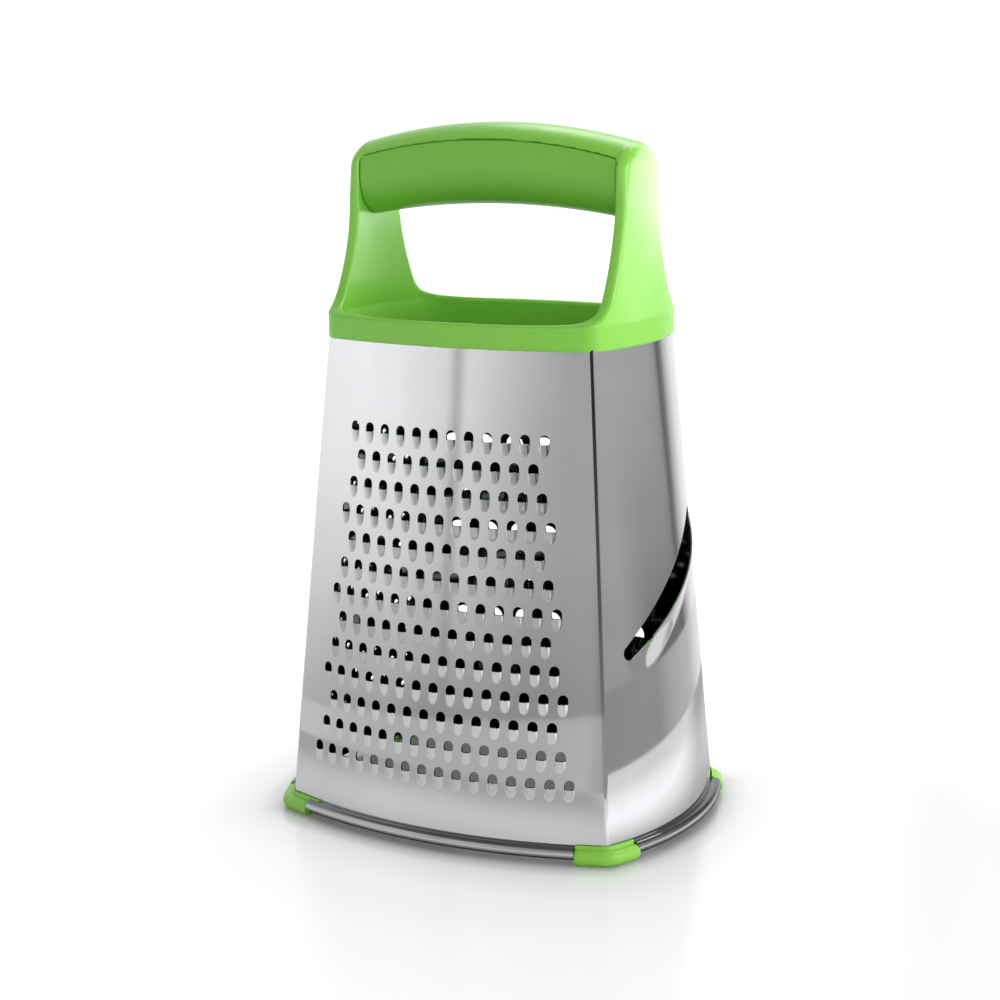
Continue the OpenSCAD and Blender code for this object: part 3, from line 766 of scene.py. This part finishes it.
def slot_parts():
    """The pressed ramp as a flat patch, and the outline of the opening that it needs in the sheet."""
    r = SLOT_W / 2
    round_end = [(SLOT_HALF - r + r * math.cos(a), r * math.sin(a)) for a in np.radians([0, 18, 36, 54, 72, 90])]
    straight = np.linspace(SLOT_HALF - r, r - SLOT_HALF, 31)[1:-1]
    upper = round_end + [(s, r) for s in straight] + [(-s, w) for s, w in round_end[::-1]]
    lower = [(s, -w) for s, w in upper][::-1]
    count = len(lower)
    foot = []
    for s, _ in lower:
        far = abs(s) / SLOT_HALF
        drop = RAMP * max(1 - far ** 9, 0) ** 0.42
        foot.append((s * (1 + 0.035 * far ** 4), -r * min(1, (1 - far ** 12) ** 0.4) - drop - 0.3))
    foot = np.array(foot)
    low = np.array(lower)
    away = np.gradient(foot, axis=0)
    away = np.stack([away[:, 1], -away[:, 0]], 1) / np.linalg.norm(away, axis=1, keepdims=True)
    skirt = foot + RAMP_FILLET * away
    height = RAMP_H * np.maximum(1 - (low[:, 0] / (SLOT_HALF + 0.01)) ** 2, 0)
    rows = np.linspace(0, 1, 9)
    points = []
    for t in rows:
        spot = low + (foot - low) * t
        rise = height * (1 - t) * (1 + 0.25 * t) * (1 - 0.12 * t * t)
        points += [(*on_slot(*p), h) for p, h in zip(spot, rise)]
    ramp = patch(points, grid_faces(len(rows), count), [PRESSED] * len(points))
    border = [(*on_slot(*p), 0) for p in skirt] + [(*on_slot(*p), 0) for p in foot]
    fillet = patch(border, grid_faces(2, count), [PLAIN] * count + [PRESSED] * count)
    hole = [on_slot(*p) for p in skirt] + [on_slot(*foot[-1])] + [on_slot(*p) for p in upper] + [on_slot(*foot[0])]
    return weld(fillet, ramp), hole


slot_ramp, slot_hole = slot_parts()
build_face("right", SIDE, FRONT, SIDE_LEG, hole=slot_hole, extra=[slot_ramp])


# %% [markdown]
# ## Corner caps
# A green cap closes each lower corner. It is a bent sleeve on the line of both hems, only a little lower, so
# the grater stands on its caps. Its inside edge turns up against the sheet in a thin lip. A section is drawn
# once and swept along the hems, round the bend. On two of the caps the lip runs on over the long hem.

# %% The hem's line, and a sweep along it
def hem_line(front_leg, side_leg, steps):
    """Points and outward directions along the hem's middle line round the front right corner."""
    (cx, cy), start, end = corner_circle(FRONT, SIDE, HEM_Z, HEM_OUT, CAP_BEND)
    a, b = middle(FRONT, HEM_Z) - FRONT["bow"], middle(SIDE, HEM_Z) - SIDE["bow"]
    r1, r2 = FRONT["bow"] + HEM_OUT, SIDE["bow"] + HEM_OUT
    line = []
    for f in np.linspace(1, 0, 6)[:-1]:
        turn = start - f * front_leg / r1
        line.append((r1 * math.sin(turn), r1 * math.cos(turn) + a, turn))
    for f in np.linspace(0, 1, steps + 1):
        turn = start + (end - start) * f
        line.append((cx + CAP_BEND * math.sin(turn), cy + CAP_BEND * math.cos(turn), turn))
    for f in np.linspace(0, 1, 6)[1:]:
        turn = end + f * side_leg / r2
        line.append((b + r2 * math.sin(turn), r2 * math.cos(turn), turn))
    return line


def swept(line, section, ends):
    """Sweeps a closed section, given as (outwards, height), along a line with rounded-off ends."""
    rings = [(line[0], 1 - e, d) for e, d in ends] + [(p, 1.0, 0.0) for p in line[1:-1]]
    rings += [(line[-1], 1 - e, -d) for e, d in ends[::-1]]
    centre = np.mean(section, 0)
    points = []
    for (x, y, turn), size, slide in rings:
        out = (math.sin(turn), math.cos(turn))
        for n, z in section:
            n, z = centre[0] + (n - centre[0]) * size, centre[1] + (z - centre[1]) * size
            points.append((x + out[0] * n + out[1] * slide, y + out[1] * n - out[0] * slide, z))
    count = len(section)
    faces = [(r * count + i, r * count + (i + 1) % count, (r + 1) * count + (i + 1) % count, (r + 1) * count + i)
             for r in range(len(rings) - 1) for i in range(count)]
    faces += [tuple(range(count)), tuple(len(points) - 1 - i for i in range(count))]
    return np.array(points), faces


# %% [markdown]
# A cap is three sweeps: the sleeve, the lip above it, and the thin run of the lip over the long hem. Each ends
# in a few smaller copies of its section, which round its ends off.

# %% Caps
CAP_IN = 0.2 - HEM_OUT
LIP_Z, LIP_FOOT, LIP_W = 6.5, 4.2, 1.1


def cap_section():
    """Round but for a flat underside, and for its inside, which lies against the sheet."""
    turns = np.radians(np.linspace(math.degrees(math.acos(CAP_IN / CAP_R)), -65.4, 22))
    ring = [(CAP_R * math.cos(a), CAP_Z + CAP_R * math.sin(a)) for a in turns]
    turns = np.radians(np.linspace(-114.6, -177.9, 8))
    ring += [(CAP_R * math.cos(a), CAP_Z + CAP_R * math.sin(a)) for a in turns]
    return ring + [(CAP_IN, SHEET_FOOT - 0.2)]


def build_caps():
    line = hem_line(FRONT_LEG, SIDE_LEG, 10)
    crest = [(CAP_IN, LIP_Z - 0.2), (CAP_IN + 0.15, LIP_Z), (CAP_IN + 0.5, LIP_Z), (CAP_IN + 0.8, LIP_Z - 0.2)]
    lip = [(CAP_IN, LIP_FOOT)] + crest + [(CAP_IN + LIP_W, LIP_FOOT)]
    run = [(n + 0.02, z - 0.04) for n, z in crest]
    run = [(CAP_IN + 0.02, LIP_Z - 0.9)] + run + [(CAP_IN + 0.92, LIP_Z - 0.4)]
    sweeps = [swept(line, cap_section(), [(0.16, 0.0), (0.06, 0.12), (0.0, 0.45)]),
              swept(line, lip, [(0.1, 0.1), (0.0, 0.4)]),
              swept(hem_line(FRONT_LEG + LIP_RUN, 0, 1)[:3], run, [(0.3, 0.0), (0.1, 0.2), (0.0, 0.6)])]
    for name, sx, sy in (("front_right", 1, -1), ("front_left", -1, -1), ("rear_right", 1, 1), ("rear_left", -1, 1)):
        with_run = sx * sy > 0
        used = sweeps if with_run else sweeps[:2]
        starts = np.cumsum([0] + [len(sweep[0]) for sweep in used])
        points = np.concatenate([sweep[0] for sweep in used])
        faces = [tuple(v + start for v in f) for start, sweep in zip(starts.tolist(), used) for f in sweep[1]]
        mesh = bpy.data.meshes.new(name + "_corner")
        turned = [f[::-1] for f in faces] if with_run else faces
        mesh.from_pydata(points * (sx * MM, sy * MM, MM), [], turned)
        mesh.materials.append(cap_green)
        mesh.shade_smooth()
        mesh.set_sharp_from_angle(angle=math.radians(50))
        piece = add_object(name + "_corner", mesh)
        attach(piece, "root")
        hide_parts(name + "_cap")
    print("a cap has", len(faces), "faces")


build_caps()


# %% [markdown]
# ## The handle
# The handle is one soft-looking moulding: a collar that grips the sheet, two plates that flow up out of it
# and a domed band across the top. Moulded parts have no sharp edges, and the plates melt into the collar,
# which is hard to get with bevels. So it is described as a field instead: a function that says how far a
# point is from the surface. Two such shapes can be joined or cut with any edge radius by simple sums. A
# mesh is then drawn where the field is zero, and every point is moved exactly onto the surface.

# %% Fields and their mesh
def round_join(a, b, r):
    """Two shapes as one, with a hollow of radius r where they meet."""
    return np.maximum(r, np.minimum(a, b)) - np.hypot(np.maximum(r - a, 0), np.maximum(r - b, 0))


def round_cut(a, b, r):
    """What two shapes share, with its edge rounded to radius r."""
    return np.minimum(-r, np.maximum(a, b)) + np.hypot(np.maximum(a + r, 0), np.maximum(b + r, 0))


def field_mesh(field, low, high, step):
    """Points, faces and normals of the surface where a field changes sign.

    Each cell of a grid that the surface crosses gets one point, and each grid edge that it crosses gets a face
    between the four cells around it. Then all points slide along the field's slope onto the surface.
    """
    axes = [np.arange(lo, hi + step, step) for lo, hi in zip(low, high)]
    value = field(*np.meshgrid(*axes, indexing="ij"))
    solid = value < 0
    cells = tuple(n - 1 for n in value.shape)
    total, hits, quads = np.zeros(cells + (3,)), np.zeros(cells), []
    for axis in range(3):
        first = [slice(None)] * 3
        second = [slice(None)] * 3
        first[axis], second[axis] = slice(0, -1), slice(1, None)
        v0, v1 = value[tuple(first)], value[tuple(second)]
        i, j, k = np.nonzero((v0 < 0) != (v1 < 0))
        at = np.stack([i, j, k], 1)
        inner = np.ones(len(at), bool)
        for other in range(3):
            if other != axis:
                inner &= (at[:, other] > 0) & (at[:, other] < cells[other])
        at = at[inner]
        a, b = v0[tuple(at.T)], v1[tuple(at.T)]
        spot = at.astype(float)
        spot[:, axis] += a / (a - b)
        p, q = [n for n in range(3) if n != axis]
        ring = []
        for dp, dq in ((-1, -1), (0, -1), (0, 0), (-1, 0)):
            cell = at.copy()
            cell[:, p] += dp
            cell[:, q] += dq
            ring.append(cell)
            np.add.at(total, tuple(cell.T), spot)
            np.add.at(hits, tuple(cell.T), 1)
        quads.append((np.stack(ring, 1), (a < 0) ^ (axis == 1)))
    number = np.full(cells, -1)
    used = hits > 0
    number[used] = np.arange(used.sum())
    points = total[used] / hits[used][:, None] * step + np.array(low)
    faces = []
    for ring, flip in quads:
        index = number[tuple(np.moveaxis(ring, 2, 0))]
        index[~flip] = index[~flip][:, ::-1]
        faces.append(index)
    faces = np.concatenate(faces)

    def gradient(p):
        e = 0.02
        out = np.stack([field(*(p + d).T) - field(*(p - d).T) for d in np.eye(3) * e], 1)
        return out / (2 * e)

    for _ in range(4):
        g = gradient(points)
        move = field(*points.T)[:, None] * g / np.maximum((g * g).sum(1, keepdims=True), 0.2)
        size = np.linalg.norm(move, axis=1, keepdims=True)
        points = points - move * np.minimum(1, 0.5 * step / np.maximum(size, 1e-9))
    g = gradient(points)
    return points, faces, g / np.maximum(np.linalg.norm(g, axis=1, keepdims=True), 1e-9)


ball, ball_faces, _ = field_mesh(lambda x, y, z: np.sqrt(x * x + y * y + z * z) - 5, [-6] * 3, [6] * 3, 1.0)
print("a test ball of 10 mm has", len(ball_faces), "faces, and its points are off by at most",
      round(float(np.abs(np.linalg.norm(ball, axis=1) - 5).max()), 4), "mm")


# %% [markdown]
# ## Sizes and fields of the handle
# Names that end in Z are heights over the table, those in H say how tall a stretch is, and ROUND holds the
# radius of each edge. The plates are flared at the foot and lean inwards as they rise. The band and the grip
# are arcs of different bows, and the grip's sides draw in a little up to the band, so the band's edge shows.

# %% Shape of the handle
MID_F, MID_S = middle(FRONT, COLLAR_Z), middle(SIDE, COLLAR_Z)
RIM_Z, TOP_Z, CREASE_Z = 184.6, 252.1, 246.1
COLLAR_LOW, COLLAR_WALL, OVERHANG = 175.9, 2.9, 0.55
SKIRT_Z, SKIRT_HALF, SKIRT_IN = 171.4, 9.8, 1.4
PLATE_T, PLATE_HALF, PLATE_AT = 4.2, 15, 56.4
FLARE, FLARE_H, LEAN_H = 15.2, 43, 33
SHOULDER_Z, SHOULDER_H, SOFT_Z, SOFT_H = 235.9, 8.8, 225.4, 16
BAND_BOW, BAND_R, BAND_H = 213, 17.08, 6
GRIP_BOW, GRIP_R, GRIP_H, GRIP_INSET, GRIP_GAP = 320, 14, 8.9, 1.35, 0.15
ROUND = {"collar": 3.2, "collar foot": 0.6, "skirt": 2, "well": 4.0, "rim": 1.4, "plate foot": 8.0, "plate": 1.5,
         "top": 4.5, "band": 0.25, "band end": 1.6, "grip": 0.15, "grip end": 0.5}


def plan(x, y, grow, r):
    """Distance to the body's bowed outline at the collar, grown by some millimetres."""
    f = np.hypot(x, np.abs(y) + FRONT["bow"] - MID_F) - FRONT["bow"] - grow
    s = np.hypot(np.abs(x) + SIDE["bow"] - MID_S, y) - SIDE["bow"] - grow
    return round_cut(f, s, r)


def plate_out(x, y, z):
    """Distance outside the plates' outer faces, which lean out towards the collar."""
    lean = np.clip((RIM_Z + LEAN_H - z) / LEAN_H, 0, 1)
    at = PLATE_AT + (MID_S + OVERHANG - PLATE_AT) * lean ** 2
    return np.hypot(np.abs(x) + SIDE["bow"] - at, y) - SIDE["bow"]


def plate_outline(y, z):
    """Distance outside a plate seen from its side: flared at its foot, and half an ellipse above the shoulder."""
    low = np.maximum((RIM_Z + FLARE_H - z) / FLARE_H, 0)
    half, slant = PLATE_HALF + FLARE * low ** 2, 2 * FLARE * low / FLARE_H
    side = (np.abs(y) - half) / np.hypot(1, slant)
    up = np.maximum(z - SHOULDER_Z, 1e-6)
    k = np.hypot(y / PLATE_HALF, up / SHOULDER_H)
    g = np.hypot(y / PLATE_HALF ** 2, up / SHOULDER_H ** 2)
    return np.where(z > SHOULDER_Z, k * (k - 1) / np.maximum(g, 1e-6), side)


def band_height(x, z):
    """Height over the band's bowed top line."""
    return np.hypot(x, z - (TOP_Z - BAND_BOW)) - BAND_BOW


def handle_field(x, y, z):
    out = plate_out(x, y, z)
    low, high = z - RIM_Z, COLLAR_LOW - z
    outline = round_join(plate_outline(y, z), low, ROUND["plate foot"])
    inner = np.abs(y) + FRONT["bow"] - MID_F
    well = round_cut(np.hypot(x, inner) - FRONT["bow"] + COLLAR_WALL, out + PLATE_T, ROUND["well"])
    shell = np.maximum(np.maximum(plan(x, y, OVERHANG, ROUND["collar"]), out), -well)
    soft = ROUND["plate"] + (ROUND["top"] - ROUND["plate"]) * np.clip((z - SOFT_Z) / SOFT_H, 0, 1)
    foot = np.maximum(round_cut(outline, shell, ROUND["rim"]), round_cut(outline, out, soft))
    foot = round_cut(foot, high, ROUND["collar foot"])
    skirt = np.maximum(plan(x, y, -SKIRT_IN, ROUND["skirt"]), -well)
    foot = np.minimum(foot, np.maximum(skirt, np.abs(z - SKIRT_Z) - SKIRT_HALF))
    t = band_height(x, z)
    band = round_cut(np.hypot(t + BAND_R, y) - BAND_R, -(t + BAND_H), ROUND["band"])
    band = round_cut(band, out, ROUND["top"])
    return round_join(foot, band, ROUND["band end"])


def grip_field(x, y, z):
    t = np.hypot(x, z - (CREASE_Z - GRIP_BOW)) - GRIP_BOW
    ring = np.hypot(t + GRIP_H, y) - GRIP_R
    upper = np.abs(y) - GRIP_R + GRIP_INSET * (np.maximum(t + GRIP_H, 0) / GRIP_H) ** 2
    body = round_cut(np.where(t > -GRIP_H, upper, ring), band_height(x, z) + BAND_H, ROUND["grip"])
    return round_cut(body, plate_out(x, y, z) + PLATE_T + GRIP_GAP, ROUND["grip end"])


def field_piece(name, field, low, high, step, finish, node):
    points, faces, normals = field_mesh(field, low, high, step)
    piece = finished_piece(name, points, [tuple(f) for f in faces.tolist()], normals[faces.reshape(-1)], finish)
    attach(piece, "root")
    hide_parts(node)
    print(name, "has", len(faces), "faces")


field_piece("handle_moulding", handle_field, (-63, -48, 159.4), (63, 48, 254.4), 0.9, frame_green,
            "handle_frame")
field_piece("grip_moulding", grip_field, (-54, -16, 213.4), (54, 16, 248.4), 0.8, grip_green,
            "grip_shell")


# %% [markdown]
# ## Floor and light
# The grater stands on a pale glossy table in a white room. Mirror-polished steel has no colour of its own: it
# shows the room. So the light is mostly what surrounds the grater: a white world, and grey cards that the
# camera doesn't see but the steel does.
#
# Light Path tells the kinds of ray apart, and the table answers each in its own way. The camera sees a lacquer
# that mirrors softly, and a pale glow that fades close to the grater's foot: painted shade. The steel sees
# a grey that changes with the distance from the grater's middle, with the same painted shade near the foot
# and painted light towards the right. Light that bounces finds plain pale paint.

# %% Floor
FLOOR_SHEEN = [(0.08, 0.66), (0.12, 0.72), (0.14, 0.68), (0.16, 0.6), (0.19, 0.44), (0.225, 0.42), (0.23, 1.0)]
FLOOR_SHADE = [(-0.002, 0.0), (0.0, 0.1), (0.003, 0.38), (0.01, 0.68), (0.03, 0.87), (0.07, 0.97), (0.11, 1.0)]
CAPS_OUT, CAPS_BOW = 3.4, 3.5


def stepped(tree, value, pairs):
    """Grey that runs straight from one pair of (value, grey) to the next."""
    low, high = pairs[0][0], pairs[-1][0]
    ramp = tree.nodes.new("ShaderNodeValToRGB")
    steps = ramp.color_ramp.elements
    for n, (at, grey) in enumerate(pairs):
        step = steps[n] if n < 2 else steps.new((at - low) / (high - low))
        step.position, step.color = (at - low) / (high - low), (grey, grey, grey, 1)
    link(tree, between(tree, value, 0, 1, low, high), ramp.inputs["Fac"])
    return ramp.outputs["Color"]


def beyond(tree, across, along, face):
    """How far, in metres, a place on the table lies outside one bowed side of the caps."""
    reach, bow = (face["foot"] + CAPS_OUT) * MM, (face["bow"] + CAPS_BOW) * MM
    square = math_node(tree, "POWER", math_node(tree, "ADD", math_node(tree, "ABSOLUTE", along), bow - reach), 2)
    far = math_node(tree, "SQRT", math_node(tree, "ADD", math_node(tree, "POWER", math_node(
        tree, "ABSOLUTE", across), 2), square))
    return math_node(tree, "SUBTRACT", far, bow)


def pale_floor():
    finish, tree, shader, place = new_finish("pale_table")
    link(tree, blend_colours(tree, noise(tree, place, 3, 2), (0.86, 0.87, 0.88), (0.84, 0.85, 0.86)),
         shader.inputs["Base Color"])
    spot = tree.nodes.new("ShaderNodeSeparateXYZ")
    link(tree, place.outputs["Object"], spot.inputs[0])
    x, y = spot.outputs["X"], spot.outputs["Y"]
    gap = math_node(tree, "MAXIMUM", beyond(tree, x, y, FRONT), beyond(tree, y, x, SIDE))
    shade = stepped(tree, gap, FLOOR_SHADE)
    away = tree.nodes.new("ShaderNodeVectorMath")
    away.operation = "LENGTH"
    link(tree, place.outputs["Object"], away.inputs[0])
    mirrored = tree.nodes.new("ShaderNodeEmission")
    # The grey that the steel sees on the table is painted: brighter towards the right, and darkened near the foot by
    # the painted shade.
    brighter_right = between(tree, x, 1.0, 1.8, 0.09, 0.13)
    sheen = math_node(tree, "MULTIPLY", stepped(tree, away.outputs["Value"], FLOOR_SHEEN), brighter_right)
    link(tree, math_node(tree, "MULTIPLY", sheen, shade), mirrored.inputs["Strength"])
    lacquer = tree.nodes.new("ShaderNodeBsdfPrincipled")
    lacquer.inputs["Base Color"].default_value = (0.27, 0.272, 0.275, 1)
    lacquer.inputs["IOR"].default_value = 1.9
    link(tree, between(tree, noise(tree, place, 40, 3), 0.17, 0.23), lacquer.inputs["Roughness"])
    glow = tree.nodes.new("ShaderNodeEmission")
    # The camera's glow on the table fades near the grater's foot: painted shade.
    link(tree, between(tree, shade, 0.1, 0.69), glow.inputs["Strength"])
    seen = tree.nodes.new("ShaderNodeAddShader")
    link(tree, lacquer.outputs[0], seen.inputs[0])
    link(tree, glow.outputs[0], seen.inputs[1])
    rays = tree.nodes.new("ShaderNodeLightPath")
    last = shader.outputs[0]
    for ray, other in (("Is Glossy Ray", mirrored), ("Is Camera Ray", seen)):
        mixed = tree.nodes.new("ShaderNodeMixShader")
        link(tree, rays.outputs[ray], mixed.inputs[0])
        link(tree, last, mixed.inputs[1])
        link(tree, other.outputs[0], mixed.inputs[2])
        last = mixed.outputs[0]
    out = next(n for n in tree.nodes if n.type == "OUTPUT_MATERIAL")
    link(tree, last, out.inputs["Surface"])
    return finish


mesh = bpy.data.meshes.new("table")
mesh.from_pydata([(-4, -4, -0.0002), (4, -4, -0.0002), (4, 6, -0.0002), (-4, 6, -0.0002)], [], [(0, 1, 2, 3)])
mesh.materials.append(pale_floor())
table = add_object("table", mesh)
print("the table's finish has", len(table.data.materials[0].node_tree.nodes), "nodes")

# %% [markdown]
# ## Grey cards
# The grey cards stand in a ring, open at the top. Each row of numbers says in which direction from the
# grater a card stands, in degrees from the front, and how light it is at its foot and at its top. Between
# them the grey changes smoothly. The levels say at which heights, in metres, and how much of the way from
# foot to top the grey has gone there. Below the cards, where a level says -1, a skirting shows how the table
# looks from the side. Only shiny surfaces inside the ring see all this.

# %% Ring of grey cards
CARDS = [(-180, 1.0, 1.0), (-110, 1.0, 1.0), (-80, 0.6, 1.0), (-50, 0.43, 1.04), (-38, 0.41, 0.98),
         (-28, 0.34, 0.87), (-22, 0.33, 0.8), (-19, 0.32, 0.45), (-16, 0.34, 0.82), (-10, 0.33, 0.74),
         (-4, 0.32, 0.66), (3, 0.3, 0.56), (8, 0.3, 0.5), (16, 0.32, 0.44), (25, 0.35, 0.44), (30, 0.2, 0.03),
         (62, 0.2, 0.03), (72, 0.3, 0.4), (90, 0.36, 0.42), (104, 0.35, 0.45), (112, 0.25, 0.43),
         (120, 0.17, 0.42), (138, 0.17, 0.4), (143, 0.2, 0.34), (147, 0.16, 0.14), (150, 0.3, 0.2),
         (153, 0.45, 0.45), (158, 0.7, 0.68), (163, 0.9, 0.86), (175, 1.0, 1.0), (180, 1.0, 1.0)]
SKIRTING = [(-180, 0.9), (-90, 0.65), (-60, 0.62), (-35, 0.5), (10, 0.48), (24, 0.54), (32, 0.32), (88, 0.3),
            (120, 0.32), (130, 0.44), (150, 0.55), (163, 0.8), (180, 0.9)]
LEVELS = [(0.0, -1), (0.03, -1), (0.0315, 0.02), (0.06, 0.33), (0.085, 0.6), (0.12, 0.8), (0.16, 1.0), (0.2, 1.0)]
RING_R = 0.22


def grey_cards(radius):
    turns = np.arange(180, -181, -1.5)
    aims, at_foot, at_top = zip(*CARDS)
    feet, tops = np.interp(turns, aims, at_foot), np.interp(turns, aims, at_top)
    skirting = np.interp(turns, *zip(*SKIRTING))
    points, greys = [], []
    for z, share in LEVELS:
        dips = np.interp(turns, [-60, 20, 35], [0.016, 0, -0.004]) * (0 < z < 0.05)
        points += [(radius * math.sin(turn), -radius * math.cos(turn), z - dip)
                   for turn, dip in zip(np.radians(turns), dips)]
        greys += list(skirting if share < 0 else feet + (tops - feet) * share)
    mesh = bpy.data.meshes.new("grey_cards")
    mesh.from_pydata(points, [], grid_faces(len(LEVELS), len(turns)))
    mesh.attributes.new("grey", "FLOAT", "POINT").data.foreach_set("value", np.array(greys, np.float32))
    finish = bpy.data.materials.new("grey_card")
    finish.use_nodes = True
    tree = finish.node_tree
    tree.nodes.clear()
    grey, side = tree.nodes.new("ShaderNodeAttribute"), tree.nodes.new("ShaderNodeNewGeometry")
    grey.attribute_name = "grey"
    glow, clear = tree.nodes.new("ShaderNodeEmission"), tree.nodes.new("ShaderNodeBsdfTransparent")
    both, out = tree.nodes.new("ShaderNodeMixShader"), tree.nodes.new("ShaderNodeOutputMaterial")
    link(tree, grey.outputs["Fac"], glow.inputs["Strength"])
    link(tree, side.outputs["Backfacing"], both.inputs[0])
    link(tree, glow.outputs[0], both.inputs[1])
    link(tree, clear.outputs[0], both.inputs[2])
    link(tree, both.outputs[0], out.inputs["Surface"])
    mesh.materials.append(finish)
    cards = add_object("grey_cards", mesh)
    for ray in ("camera", "diffuse", "shadow", "transmission", "volume_scatter"):
        setattr(cards, "visible_" + ray, False)
    facing = sum(1 for p in mesh.polygons if p.normal.x * p.center.x + p.normal.y * p.center.y < 0)
    print("the ring of cards has", len(mesh.polygons), "faces,", facing, "face inwards")


grey_cards(RING_R)

# %% [markdown]
# ## World and lamps
# The white backdrop is the world as the camera sees it. Shiny surfaces see it darken straight above them, and
# dull ones get a dimmer light from all round, so that the green keeps its colour and its shaded sides. Three
# soft lamps add the light that falls on the back, the top and the right.

# %% World and lamps
bpy.context.scene.view_settings.view_transform = "Standard"


def white_room():
    world = bpy.data.worlds.new("room")
    bpy.context.scene.world = world
    world.use_nodes = True
    tree = world.node_tree
    background = next(n for n in tree.nodes if n.type == "BACKGROUND")
    background.inputs["Color"].default_value = (1, 1, 1, 1)
    way = tree.nodes.new("ShaderNodeTexCoord")
    up = tree.nodes.new("ShaderNodeSeparateXYZ")
    link(tree, way.outputs["Generated"], up.inputs[0])
    rays = tree.nodes.new("ShaderNodeLightPath")
    seen = rays.outputs["Is Camera Ray"]
    shiny = math_node(tree, "MAXIMUM", rays.outputs["Is Glossy Ray"], rays.outputs["Is Transmission Ray"])
    dull = math_node(tree, "SUBTRACT", 1, math_node(tree, "MAXIMUM", shiny, seen))
    for_shiny = between(tree, up.outputs["Z"], 1.0, 0.35, 0.4, 0.9)
    for_dull = between(tree, up.outputs["Z"], 0.58, 0.42)
    strength = math_node(tree, "ADD", seen, math_node(tree, "MULTIPLY", shiny, for_shiny))
    strength = math_node(tree, "ADD", strength, math_node(tree, "MULTIPLY", dull, for_dull))
    link(tree, strength, background.inputs["Strength"])


def lamp(name, place, target, size, power):
    light = bpy.data.lights.new(name, "AREA")
    light.shape = "RECTANGLE"
    light.size, light.size_y = size
    light.energy = power
    piece = add_object(name, light)
    piece.location = place
    piece.rotation_euler = (Vector(target) - Vector(place)).to_track_quat("-Z", "Y").to_euler()


white_room()
lamp("rear right", (0.66, 1.2, 0.44), (0, 0, 0.19), (1.3, 1.1), 12)
lamp("above", (-0.12, 0.9, 1.25), (0, 0, 0.25), (1.0, 0.6), 6.5)
lamp("right", (1.15, -0.1, 0.5), (0, 0, 0.15), (0.6, 0.6), 6)
